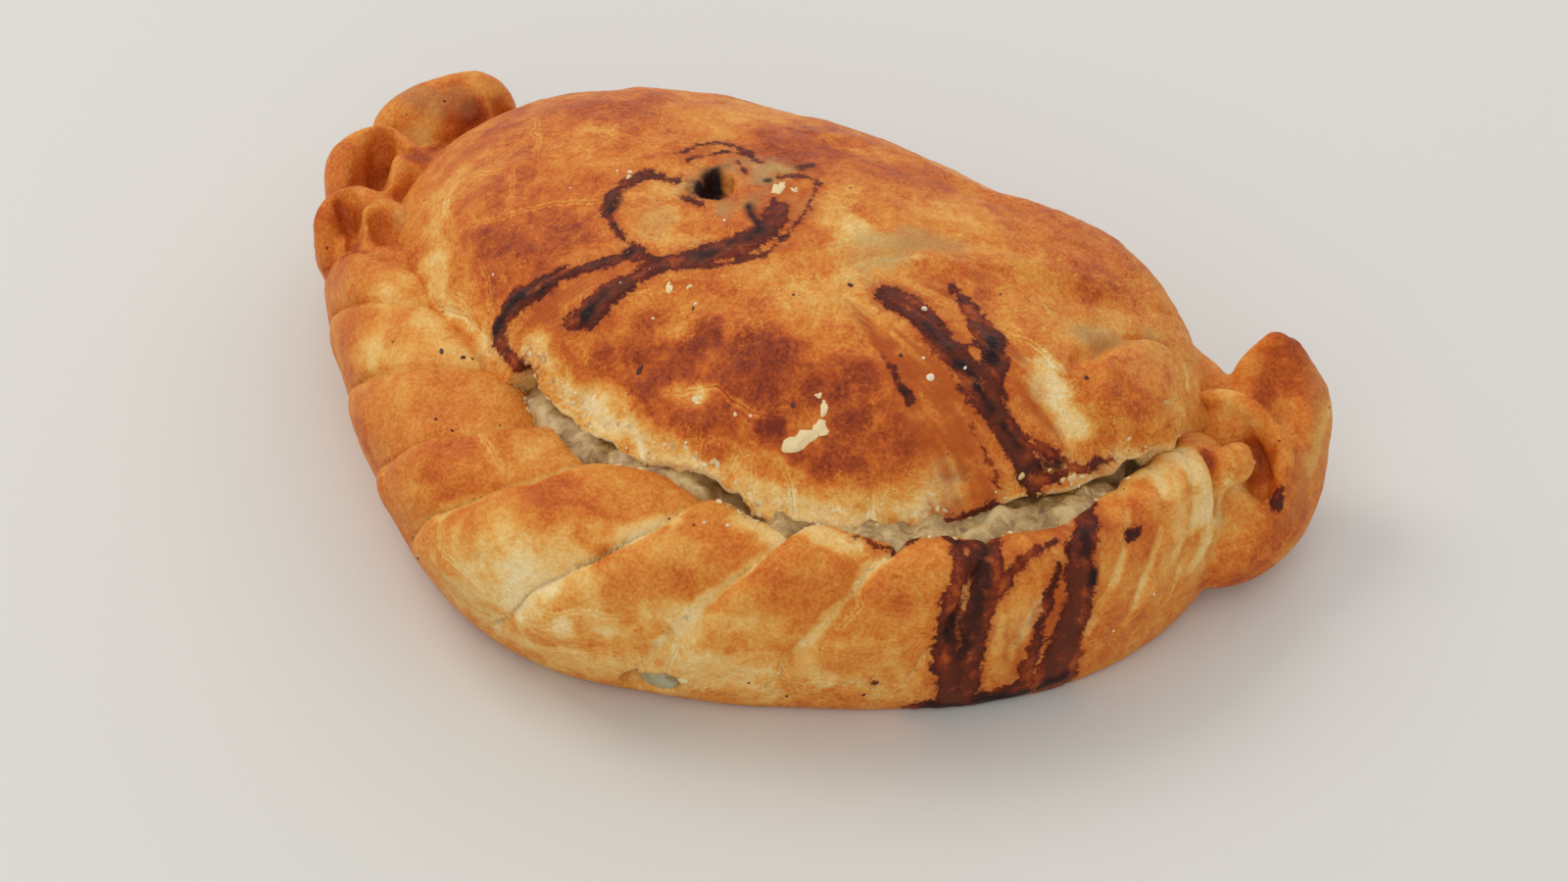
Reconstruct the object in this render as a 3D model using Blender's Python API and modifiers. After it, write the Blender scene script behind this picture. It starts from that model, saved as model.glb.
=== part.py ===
"""A large hand-crimped cornish pasty.

One shortcrust case, folded over its filling and crimped along the curved edge, with a
standing tab at one end of the crimp and a twisted horn at the other. The seam has burst
towards the horn, two vents stand open in the dome, and a flake is off at the front foot,
where a piece of onion shows. The filling is its own solid and fills the case.

The frame has its origin in the middle of the flat underside, +X along the pasty to the
horn, -Y to the crimped side and +Z up. Sizes and places are in millimetres.
"""

import math

import bmesh
import bpy
import numpy as np

MM = 0.001

# Driving dimensions.
HEIGHT = 55.0  # top of the dome
BELLY = 13.0  # height at which the dome is widest
CREST = 34.0  # top of the crimp
CRIMP_BELLY = 14.0  # height at which the crimp is widest
CRIMP_TUCK = 8.0  # how far the crimp runs in under the lid past the seam
WALL = 5.0  # thickness of the crust
GAP = 0.3  # clearance between the crust and what it holds
HUB = (-1.5, 5.5)  # the point from which every reach is measured

# Plan reach from the hub at each angle in degrees. The dome is the whole rounded lid, which
# dives under the crimp in front. Seam and rim are the inner and outer edge of the crimp.
DOME_REACH = {
    0: 86, 15: 87.5, 30: 86, 45: 77, 60: 67, 75: 62.5, 90: 61.5, 105: 63.5, 120: 69,
    135: 76, 150: 83, 165: 84, 180: 80, 195: 70, 210: 58, 225: 52, 240: 49, 255: 47,
    270: 47, 285: 49, 300: 55, 315: 63, 330: 70, 345: 76,
}
SEAM_REACH = {
    150: 79, 165: 76, 180: 68, 195: 59.5, 210: 52, 225: 46.2, 240: 44, 255: 42.5,
    270: 42.5, 285: 45, 300: 50.5, 315: 58, 330: 64.3, 345: 71, 360: 78, 375: 82.5,
    385: 84,
}
RIM_REACH = {
    150: 91, 165: 96, 180: 90, 195: 79.5, 210: 72, 225: 69, 240: 69.5, 255: 71.5,
    270: 72, 285: 70.5, 300: 69.5, 315: 72, 330: 79, 345: 86.5, 360: 93, 375: 95,
    385: 95,
}
CRIMP_START = 158.0
CRIMP_END = 379.0
SEAM_TURN = 135.0  # degrees round the crimp's section from its rim up to the seam

# Each crease between two pleats: its angle at the rim, its angle at the seam, and how
# high the pleat after it stands. A pleat's crest lies RIDGE of the way across it.
CREASES = (
    (168, 172, 1.0), (187, 200, 2.2), (196, 210, 2.2), (210, 231, 2.4), (228, 254, 2.6),
    (242, 273, 3.0), (264, 300, 3.0), (286, 320, 2.8), (306, 334, 2.2), (324, 343, 1.2),
    (336, 354, 1.2), (344, 362, 1.3), (350, 368, 1.3), (356, 374, 1.2), (364, 382, 0.8),
)
RIDGE = 0.28

# Rolls of dough that stand clear of the crimp: the spine, then the half thickness and half
# breadth along it.
ROLLS = {
    "tab": dict(
        spine=((-94, 24, 14), (-90.5, 34, 19), (-84.5, 44, 20), (-77, 51, 14)),
        thickness=(9, 13, 13, 9), breadth=(6, 7, 7, 6), up=(-0.25, 0.15, 1.0),
    ),
    "pocket_above": dict(
        spine=((-77, 14, 20), (-89, 20, 20), (-97, 24, 14)),
        thickness=(8, 11, 9), breadth=(7, 9, 7), up=(0.0, 0.0, 1.0),
    ),
    "pocket_below": dict(
        spine=((-71, 0, 20), (-83.5, 6, 20), (-93.5, 10, 12)),
        thickness=(8, 11, 10), breadth=(8, 9, 8), up=(0.0, 0.0, 1.0),
    ),
    "horn": dict(
        spine=((84, 10, 8), (92.5, 20, 9), (94.5, 33, 11), (92, 44, 16), (87, 49, 24),
               (82.5, 49, 36)),
        thickness=(8, 9, 9, 9, 8, 5), breadth=(7, 6, 6, 6, 7, 5), up=(0.0, 0.0, 1.0),
    ),
    "flap": dict(
        spine=((76, 28, 16), (84, 36, 17), (86, 44, 22), (82, 49, 32)),
        thickness=(9, 10, 8, 4), breadth=(11, 11, 7, 4), up=(0.0, 0.0, 1.0),
    ),
    "bean": dict(
        spine=((85, 17, 24), (88, 22, 25.5), (88, 28, 26)),
        thickness=(3.5, 4, 3.5), breadth=(3, 3.6, 3), up=(0.0, 0.0, 1.0),
    ),
}

# Rounded hollows and openings: centre, then half size.
POCKET_HOLLOWS = {
    "hollow_above": ((-90, 20, 30), (3.4, 5.4, 5.5)),
    "hollow_below": ((-81.5, 1.5, 33), (5.0, 2.2, 5.5)),
}
VENTS = {
    "vent_left": ((-10.0, 13.5, 52.0), (4.5, 3.2, 6.0)),
    "vent_right": ((28.5, 11.5, 50.0), (5.0, 1.2, 6.0)),
}
ONION = ((17.5, -56.0, 6.6), (5.2, 4.3, 3.3))
ONION_TEAR = ((17.5, -58.2, 6.6), (6.4, 8.4, 4.4))  # the pocket torn in the crust around it

# The burst in the seam runs between two angles and gapes by these widths on the way.
SPLIT_START = 262.0
SPLIT_END = 371.0
SPLIT_GAPE = {262: 1.6, 300: 1.8, 330: 3.0, 350: 6.0, 360: 4.5, 371: 1.2}
SPLIT_MIDDLE = 28.0
SPLIT_DEPTH = 11.0

# How finely the dough's skin is made, and what counts as the underside.
SKIN_VOXEL = 1.1
SKIN_TRIANGLES = 5800
FOOT = 0.7


def smooth_step(low, high, value):
    part = np.clip((value - low) / (high - low), 0.0, 1.0)
    return part * part * (3 - 2 * part)


def rounded(wave, power):
    """A sine or cosine pushed towards a squarer section."""
    return np.sign(wave) * np.abs(wave) ** power


def reach(table, angle):
    """The plan reach at each angle in degrees, softened between the table's stations."""
    angle = np.asarray(angle, float)
    stations = np.array(list(table), float)
    values = np.array(list(table.values()), float)
    if stations[0] == 0:
        angle = angle % 360
        stations = np.concatenate([stations - 360, stations, stations + 360])
        values = np.tile(values, 3)
    blur = np.linspace(-8.0, 8.0, 9)
    return np.mean([np.interp(angle + step, stations, values) for step in blur], axis=0)


def from_hub(radius, angle, z):
    x = HUB[0] + radius * np.cos(np.radians(angle))
    y = HUB[1] + radius * np.sin(np.radians(angle))
    return np.stack([x, y, z], axis=-1)


def dome_form(longitude, latitude, inset=0.0):
    """The rounded lid: full in the shoulders, flat beneath, shrunk by inset all round."""
    angle = np.degrees(longitude)
    rise = np.sin(latitude)
    fall = np.cos(latitude)
    ring = np.where(rise >= 0, fall ** 0.78, fall ** 0.20)
    top = BELLY + (HEIGHT - inset - BELLY) * np.clip(rise, 0, 1) ** 0.92
    floor = BELLY * (1 + rise * 1.10)
    z = np.maximum(np.where(rise >= 0, top, floor), inset)
    return from_hub((reach(DOME_REACH, angle) - inset) * ring, angle, z)


def pleat_height(angle, across):
    """How far the pleats stand out: a steep rise past each crease, then a long fall."""
    height = np.zeros_like(angle)
    for here, after in zip(CREASES[:-1], CREASES[1:]):
        left = here[1] + (here[0] - here[1]) * across
        right = after[1] + (after[0] - after[1]) * across
        part = (angle - left) / (right - left)
        rise = np.sin(np.clip(part / RIDGE, 0, 1) * math.pi / 2)
        fall = np.cos(np.clip((part - RIDGE) / (1 - RIDGE), 0, 1) * math.pi / 2)
        inside = (part >= 0) & (part < 1)
        height = np.where(inside, here[2] * np.where(part < RIDGE, rise, fall), height)
    return height


def crimp_form(longitude, latitude):
    """The roll of folded dough along the curved side, from the tab round to the horn."""
    along = latitude / math.pi + 0.5
    angle = CRIMP_START + (CRIMP_END - CRIMP_START) * along
    inner = reach(SEAM_REACH, angle) - CRIMP_TUCK
    outer = reach(RIM_REACH, angle) - 1.0
    end = np.sqrt(np.clip(1.0 - np.abs(2 * along - 1) ** 14, 0.0, 1.0))
    side = rounded(np.cos(longitude), 0.85)
    lift = rounded(np.sin(longitude), 0.85)
    radius = (inner + outer) / 2 + (outer - inner) / 2 * end * side
    z = CRIMP_BELLY + np.where(lift > 0, CREST - CRIMP_BELLY - 1.5, 16.0) * end * lift
    across = np.clip((SEAM_TURN - np.degrees(longitude)) / SEAM_TURN, 0, 1.5)
    pleat = pleat_height(angle, across) * end * smooth_step(4.0, 20.0, z)
    return from_hub(radius + pleat * side, angle, np.maximum(z + pleat * lift, 0.0))


def roll_form(longitude, latitude, spine, thickness, breadth, up):
    """A tapered roll of dough: a section, thick by broad, carried along a spine."""
    along = latitude / math.pi + 0.5
    stations = np.linspace(0, 1, len(spine))
    fine = np.linspace(0, 1, 61)
    path = np.stack([np.interp(fine, stations, axis) for axis in np.transpose(spine)], -1)
    for _ in range(60):
        path[1:-1] = (path[:-2] + 2 * path[1:-1] + path[2:]) / 4
    tangent = np.gradient(path, axis=0)
    tangent /= np.linalg.norm(tangent, axis=1, keepdims=True)
    wide = np.cross(tangent, np.array(up))
    wide /= np.linalg.norm(wide, axis=1, keepdims=True)
    thick = np.cross(wide, tangent)

    def at(values):
        return np.stack([np.interp(along, fine, axis) for axis in values.T], -1)

    end = np.sqrt(np.clip(1 - np.abs(2 * along - 1) ** 3, 0, 1))
    broad = end * np.interp(along, stations, breadth) * np.cos(longitude)
    deep = end * np.interp(along, stations, thickness) * np.sin(longitude)
    place = at(path) + at(wide) * broad[..., None] + at(thick) * deep[..., None]
    place[..., 2] = np.maximum(place[..., 2], 0.0)
    return place


def inside_form(longitude, latitude, inset):
    """What lies within the crust: the dome shrunk, spread out under the crimp at the foot."""
    place = dome_form(longitude, latitude, inset)
    angle = np.degrees(longitude) % 360
    under = reach(RIM_REACH, np.where(angle < 25, angle + 360, angle)) - inset - 2.0
    under = np.where((angle > 165) | (angle < 15), under, 0.0) * np.cos(latitude) ** 0.20
    low = 1 - smooth_step(-0.15, 0.15, np.sin(latitude))
    radius = np.hypot(place[..., 0] - HUB[0], place[..., 1] - HUB[1])
    radius = radius + (np.maximum(radius, under) - radius) * low
    return from_hub(radius, angle, place[..., 2])


def pebble_form(longitude, latitude, centre, size):
    """A plain rounded lump."""
    flat = np.cos(latitude)
    ball = [flat * np.cos(longitude), flat * np.sin(longitude), np.sin(latitude)]
    return np.array(centre) + np.stack(ball, -1) * np.array(size)


def split_form(longitude, latitude):
    """The burst in the seam: a thin blade, leaning inwards, that widens to the horn."""
    along = latitude / math.pi + 0.5
    angle = SPLIT_START + (SPLIT_END - SPLIT_START) * along
    end = np.sqrt(np.clip(1 - np.abs(2 * along - 1) ** 6, 0, 1))
    gape = np.interp(angle, list(SPLIT_GAPE), list(SPLIT_GAPE.values())) / 2 * end
    drop = np.sin(longitude) * SPLIT_DEPTH * end
    radius = reach(SEAM_REACH, angle) - 1.5 + drop * 0.35 + gape * np.cos(longitude)
    return from_hub(radius, angle, SPLIT_MIDDLE + drop)


def shaped_ball(name, form, around, rings, **settings):
    """A UV sphere pushed through a form that maps longitude and latitude to a place."""
    mesh = bmesh.new()
    bmesh.ops.create_uvsphere(mesh, u_segments=around, v_segments=rings, radius=1.0)
    ball = np.array([vertex.co for vertex in mesh.verts])
    longitude = np.arctan2(ball[:, 1], ball[:, 0])
    latitude = np.arcsin(np.clip(ball[:, 2], -1, 1))
    for vertex, place in zip(mesh.verts, form(longitude, latitude, **settings) * MM):
        vertex.co = place
    bmesh.ops.recalc_face_normals(mesh, faces=mesh.faces)
    data = bpy.data.meshes.new(name)
    mesh.to_mesh(data)
    mesh.free()
    return data


def pebble(name, around, rings, centre, size):
    return shaped_ball(name, pebble_form, around, rings, centre=centre, size=size)


def merged(name, meshes):
    """One mesh that holds all of the given meshes."""
    whole = bmesh.new()
    for data in meshes:
        whole.from_mesh(data)
    result = bpy.data.meshes.new(name)
    whole.to_mesh(result)
    whole.free()
    return result


def applied(thing):
    """The object's mesh as its modifiers leave it."""
    depsgraph = bpy.context.evaluated_depsgraph_get()
    return bpy.data.meshes.new_from_object(thing.evaluated_get(depsgraph))


def new_object(name, data, collection):
    made = bpy.data.objects.new(name, data)
    collection.objects.link(made)
    return made


def finish(thing, colour, roughness):
    material = bpy.data.materials.new(thing.name)
    material.use_nodes = True
    shader = material.node_tree.nodes["Principled BSDF"]
    shader.inputs["Base Color"].default_value = (*colour, 1.0)
    shader.inputs["Roughness"].default_value = roughness
    shader.inputs["Metallic"].default_value = 0.0
    thing.data.materials.append(material)
    thing.data.shade_smooth()


def new_cutter(name, data):
    cutter = new_object(name, data, cutters)
    cutter.hide_render = True
    cutter.display_type = "WIRE"
    return cutter


def cut(thing, cutter):
    boolean = thing.modifiers.new(cutter.name, "BOOLEAN")
    boolean.operation = "DIFFERENCE"
    boolean.object = cutter


def dough_skin():
    """Overlapping rolls of dough, run into one skin that is flat underneath."""
    dough = [
        shaped_ball("dome", dome_form, 120, 60),
        shaped_ball("sole", inside_form, 120, 60, inset=0.0),
        shaped_ball("crimp", crimp_form, 40, 300),
    ]
    for name, settings in ROLLS.items():
        dough.append(shaped_ball(name, roll_form, 24, 32, **settings))
    rough = new_object("rough", merged("rough", dough), pasty)
    remesh = rough.modifiers.new("one_skin", "REMESH")
    remesh.mode = "VOXEL"
    remesh.voxel_size = SKIN_VOXEL * MM
    for name, (centre, size) in POCKET_HOLLOWS.items():
        cut(rough, new_cutter(name, pebble(name, 16, 12, centre, size)))
    smooth = rough.modifiers.new("soften", "SMOOTH")
    smooth.factor = 0.5
    smooth.iterations = 2
    thin = rough.modifiers.new("thin_out", "DECIMATE")
    thin.ratio = SKIN_TRIANGLES / (2 * len(applied(rough).polygons))
    skin = applied(rough)
    bpy.data.objects.remove(rough)
    for vertex in skin.vertices:
        if vertex.co.z < FOOT * MM:
            vertex.co.z = 0.0
    return skin


for old in list(bpy.data.objects):
    bpy.data.objects.remove(old)

pasty = bpy.data.collections.new("cornish_pasty")
cutters = bpy.data.collections.new("cutters")
for collection in (pasty, cutters):
    bpy.context.scene.collection.children.link(collection)

crust = new_object("crust", dough_skin(), pasty)
finish(crust, (0.60, 0.30, 0.09), 0.5)

onion_tear = new_cutter("onion_tear", pebble("onion_tear", 12, 10, *ONION_TEAR))
cut(crust, new_cutter("inside", shaped_ball("inside", inside_form, 40, 20, inset=WALL)))
cut(crust, onion_tear)
cut(crust, new_cutter("split", shaped_ball("split", split_form, 8, 30)))
for name, (centre, size) in VENTS.items():
    cut(crust, new_cutter(name, pebble(name, 10, 8, centre, size)))

filling = new_object(
    "filling", shaped_ball("filling", inside_form, 40, 20, inset=WALL + GAP), pasty)
finish(filling, (0.36, 0.29, 0.17), 0.6)
cut(filling, onion_tear)

onion_piece = new_object("onion_piece", pebble("onion_piece", 12, 10, *ONION), pasty)
finish(onion_piece, (0.62, 0.60, 0.48), 0.3)
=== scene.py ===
"""A large hand-crimped cornish pasty: the looks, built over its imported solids.

Lengths in the tables are millimetres in the part's own frame: the origin lies in the middle
of the flat underside, +X runs along the pasty to the horn, -Y to the crimped side, +Z up.
"""

import math

import bmesh
import bpy
import numpy as np
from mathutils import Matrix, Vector
from mathutils.kdtree import KDTree


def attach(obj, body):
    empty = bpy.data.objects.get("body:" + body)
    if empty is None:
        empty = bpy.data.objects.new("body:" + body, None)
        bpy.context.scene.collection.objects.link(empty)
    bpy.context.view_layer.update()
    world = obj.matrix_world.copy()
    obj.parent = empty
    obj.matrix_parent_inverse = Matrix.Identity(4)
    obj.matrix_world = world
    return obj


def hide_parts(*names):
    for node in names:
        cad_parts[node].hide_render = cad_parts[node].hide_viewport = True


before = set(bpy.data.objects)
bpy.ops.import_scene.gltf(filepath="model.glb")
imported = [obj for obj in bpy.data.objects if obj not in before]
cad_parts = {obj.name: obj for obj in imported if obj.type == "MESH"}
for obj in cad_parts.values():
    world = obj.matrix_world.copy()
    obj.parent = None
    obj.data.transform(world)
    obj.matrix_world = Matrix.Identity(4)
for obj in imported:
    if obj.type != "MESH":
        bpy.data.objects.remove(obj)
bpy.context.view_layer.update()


# ---- Table, daylight and camera --------------------------------------------------------
# A plain pale table top that stands in for crockery, lit by a large window on the left and
# by the bright room all round. The camera looks down on the crimped side.

MM = 0.001
TABLE_SIDE = 12.0  # metres, far past the view
TABLE_COLOURS = ("DAD6CD", "D6D2C9")
ROOM_COLOUR = "F4F6FA"
ROOM_STRENGTH = 0.72
CAMERA_PLACE = (0.34613, -0.58267, 0.59029)
CAMERA_TURN = (49.400, -0.129, 30.111)
CAMERA_LENS = 112.5


def linear(code):
    """A linear colour with full alpha from an sRGB hex code."""
    channels = [int(code[start:start + 2], 16) / 255 for start in (0, 2, 4)]
    curve = [c / 12.92 if c <= 0.04045 else ((c + 0.055) / 1.055) ** 2.4 for c in channels]
    return (*curve, 1.0)


def feed(tree, node, inputs):
    """Gives a node's inputs a value, or a link from a socket or from a node's first output."""
    for name, value in inputs.items():
        if isinstance(value, bpy.types.Node):
            value = value.outputs[0]
        if isinstance(value, bpy.types.NodeSocket):
            tree.links.new(value, node.inputs[name])
        else:
            node.inputs[name].default_value = value


def add_node(tree, kind, inputs=None, **settings):
    """A new node with its settings made and its inputs fed."""
    node = tree.nodes.new(kind)
    for name, value in settings.items():
        setattr(node, name, value)
    feed(tree, node, inputs or {})
    return node


def new_material(name):
    """An empty material and its Principled shader, wired to the output."""
    material = bpy.data.materials.new(name)
    material.use_nodes = True
    return material, material.node_tree, material.node_tree.nodes["Principled BSDF"]


def new_piece(name, data):
    made = bpy.data.objects.new(name, data)
    bpy.context.scene.collection.objects.link(made)
    return made


table_mesh = bpy.data.meshes.new("table_top")
half = TABLE_SIDE / 2
table_mesh.from_pydata([(-half, -half, 0), (half, -half, 0), (half, half, 0), (-half, half, 0)],
                       [], [(0, 1, 2, 3)])
table_top = new_piece("table_top", table_mesh)
# Matt laminate: an even pale grey, faintly clouded, with no reflection to speak of.
laminate, tree, shader = new_material("pale_matt_laminate")
cloud = add_node(tree, "ShaderNodeTexNoise", {
    "Vector": add_node(tree, "ShaderNodeTexCoord").outputs["Object"], "Scale": 3.0})
tone = add_node(tree, "ShaderNodeMix", {
    0: cloud, 6: linear(TABLE_COLOURS[0]), 7: linear(TABLE_COLOURS[1])}, data_type="RGBA")
feed(tree, shader, {"Base Color": tone.outputs[2], "Roughness": 0.45})
table_mesh.materials.append(laminate)

room = bpy.data.worlds.new("bright_room")
room.use_nodes = True
feed(room.node_tree, room.node_tree.nodes["Background"],
     {"Color": linear(ROOM_COLOUR), "Strength": ROOM_STRENGTH})
bpy.context.scene.world = room
for name, place, aim, width, height, power, colour in (
        ("window_left", (-0.9, 0.1, 1.0), (0, 0, 0.02), 0.7, 0.7, 6.0, "FFFCF7"),
        ("window_back", (0.1, 1.3, 0.7), (0, 0, 0.03), 1.6, 0.9, 3.5, "F2F5FF"),
        ("window_front", (0.5, -1.2, 0.8), (0, 0, 0.02), 1.2, 0.8, 4.0, "FFFDF9")):
    lamp = bpy.data.lights.new(name, "AREA")
    lamp.shape = "RECTANGLE"
    lamp.size = width
    lamp.size_y = height
    lamp.energy = power
    lamp.color = linear(colour)[:3]
    light = new_piece(name, lamp)
    light.location = place
    facing = Vector(aim) - Vector(place)
    light.rotation_euler = facing.to_track_quat("-Z", "Y").to_euler()

lens = bpy.data.cameras.new("camera")
lens.lens = CAMERA_LENS
lens.sensor_width = 36.0
camera = new_piece("camera", lens)
camera.location = CAMERA_PLACE
camera.rotation_euler = [math.radians(turn) for turn in CAMERA_TURN]
bpy.context.scene.camera = camera
bpy.context.scene.view_settings.view_transform = "Standard"


# ---- Lid -------------------------------------------------------------------------------
# The upper sheet of shortcrust, drawn over the filling. Baking has burst it away from the
# crimp, so that its front edge is a torn lip that overhangs a crevice. Behind and below it
# runs down to the baked sole.

HUB = (-1.5, 5.5)  # the point from which every reach is measured
HEIGHT = 55.0
BELLY = 13.0  # height of the widest ring
CROWN, SHOULDER, FOOT = 0.92, 0.78, 0.20  # 1 is a ball's curve, and less is fuller
# Reach from the hub at each angle in degrees: the dome's widest ring, the seam between lid
# and crimp, and the crimp's outer rim.
DOME_REACH = {
    0: 86, 15: 87.5, 30: 86, 45: 77, 60: 67, 75: 62.5, 90: 61.5, 105: 63.5, 120: 69,
    135: 76, 150: 83, 165: 84, 180: 80, 195: 70, 210: 58, 225: 52, 240: 49, 255: 47,
    270: 47, 285: 49, 300: 55, 315: 63, 330: 70, 345: 76,
}
SEAM_REACH = {
    150: 79, 165: 76, 180: 68, 195: 59.5, 210: 52, 225: 46.2, 240: 44, 255: 42.5,
    270: 42.5, 285: 45, 300: 50.5, 315: 58, 330: 64.3, 345: 71, 360: 78, 375: 82.5,
    385: 84,
}
RIM_REACH = {
    150: 91, 165: 96, 180: 90, 195: 79.5, 210: 72, 225: 69, 240: 69.5, 255: 71.5,
    270: 72, 285: 70.5, 300: 69.5, 315: 72, 330: 79, 345: 86.5, 360: 93, 375: 95,
    385: 95,
}
# The torn lip's reach at each angle, and how far the crimp's shoulder stands back from it.
LIP_REACH = {
    228: 44, 233: 43, 237: 41.5, 242: 41.2, 248: 42, 254: 41.3, 260: 41.8, 267: 41.6,
    275: 42.1, 283: 43, 287: 43.8, 294: 45.6, 299: 48, 302: 51, 306: 53, 311: 55.4,
    316: 58.5, 323: 60.6, 332: 63.8, 340: 66.3, 347: 69.1, 353: 72.7, 357: 75.2, 361: 77,
    368: 79.8, 374: 81.2, 380: 82.6,
}
CREVICE = {
    232: 0, 237: 1.6, 243: 2.8, 250: 2.6, 255: 3.0, 259: 3.8, 266: 4.0, 271: 4.4, 275: 3.0,
    279: 1.4, 285: 1.0, 291: 2.0, 295: 4.4, 299: 4.8, 303: 2.4, 309: 1.6, 315: 1.4,
    321: 1.8, 327: 3.8, 333: 4.2, 339: 6.0, 345: 7.4, 350: 5.6, 354: 2.6, 358: 1.2,
    366: 0.8, 374: 0.5, 380: 0,
}
COLUMNS = 720  # of points round the lid, in rows over it, round the lip, under it and below
TOP_ROWS, LIP_ROWS, TUCK_ROWS, SIDE_ROWS = 108, 6, 6, 16
LIP = 2.0  # thickness of the torn lip
OVERHANG = 5.0  # how far the lip's underside runs back over the crevice
LEDGE = 18.0  # height at which the wall behind the crevice turns out to the foot
CLOSED_SEAM = 28.0  # latitude at which the lid meets the crimp where it hasn't burst


def at_angle(table, angle):
    """A table's value at each angle in degrees."""
    return np.interp(angle, list(table), list(table.values()))


def smooth_step(low, high, value):
    """Rises softly from 0 to 1 as the value goes from low to high, or falls if they swap."""
    part = np.clip((value - low) / (high - low), 0.0, 1.0)
    return part * part * (3 - 2 * part)


def reach(table, angle):
    """The plan reach at each angle in degrees, softened between the table's stations."""
    angle = np.asarray(angle, float)
    stations = np.array(list(table), float)
    values = np.array(list(table.values()), float)
    if stations[0] == 0:
        angle = angle % 360
        stations = np.concatenate([stations - 360, stations, stations + 360])
        values = np.tile(values, 3)
    blur = np.linspace(-8.0, 8.0, 9)
    return np.mean([np.interp(angle + step, stations, values) for step in blur], axis=0)


def from_hub(radius, angle, z):
    """Places, in x, y and z, from a reach and an angle round the hub and a height."""
    x = HUB[0] + radius * np.cos(np.radians(angle))
    y = HUB[1] + radius * np.sin(np.radians(angle))
    return np.stack([x, y, z], axis=-1)


def noise(place, size, seed):
    """Smooth random values from -1 to 1 that turn over in about size millimetres."""
    lattice = np.random.default_rng(seed).uniform(-1, 1, (32, 32, 32))
    cell = np.asarray(place) / size
    base = np.floor(cell).astype(int)
    part = cell - base
    part = part * part * (3 - 2 * part)
    total = 0
    for corner in np.ndindex(2, 2, 2):
        weight = np.prod(np.where(corner, part, 1 - part), axis=-1)
        at = (base + corner) % 32
        total = total + weight * lattice[at[..., 0], at[..., 1], at[..., 2]]
    return total * 1.6


def layered(place, size, seed, layers=4):
    """Noise with ever finer and weaker noise on top."""
    return sum(noise(place, size / 2 ** k, seed + k) / 2 ** k for k in range(layers))


def evened(stretch, count):
    """Profiles of shape (samples, columns, 2), resampled to count rows of even length."""
    step = np.linalg.norm(np.diff(stretch, axis=0), axis=-1)
    gone = np.concatenate([np.zeros((1, step.shape[1])), np.cumsum(step, axis=0)])
    rows = np.empty((count, stretch.shape[1], 2))
    for column in range(stretch.shape[1]):
        want = np.linspace(0, gone[-1, column], count)
        for axis in (0, 1):
            rows[:, column, axis] = np.interp(want, gone[:, column], stretch[:, column, axis])
    return rows


def dome_profile(span, latitude):
    """Reach and height of the plain dome at a latitude in degrees."""
    rise = np.sin(np.radians(latitude))
    fall = np.clip(np.cos(np.radians(latitude)), 0, 1)
    ring = np.where(rise >= 0, fall ** SHOULDER, fall ** FOOT)
    top = BELLY + (HEIGHT - BELLY) * np.clip(rise, 0, 1) ** CROWN
    z = np.maximum(np.where(rise >= 0, top, BELLY * (1 + rise * 1.10)), 0.02)
    return np.stack([span * ring, z], axis=-1)


def grid_mesh(name, place):
    """A closed mesh from rows of points round a hub: (rows, columns, 3) in millimetres."""
    rows, columns, _ = place.shape
    index = np.arange(rows * columns).reshape(rows, columns)
    here, down = index[:-1], index[1:]
    quads = np.stack([here, down, np.roll(down, -1, 1), np.roll(here, -1, 1)], -1)
    data = bpy.data.meshes.new(name)
    data.from_pydata(place.reshape(-1, 3) * MM, [], quads.reshape(-1, 4))
    mesh = bmesh.new()
    mesh.from_mesh(data)
    bmesh.ops.remove_doubles(mesh, verts=mesh.verts, dist=1e-7)
    bmesh.ops.recalc_face_normals(mesh, faces=mesh.faces)
    mesh.to_mesh(data)
    mesh.free()
    return data


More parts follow.
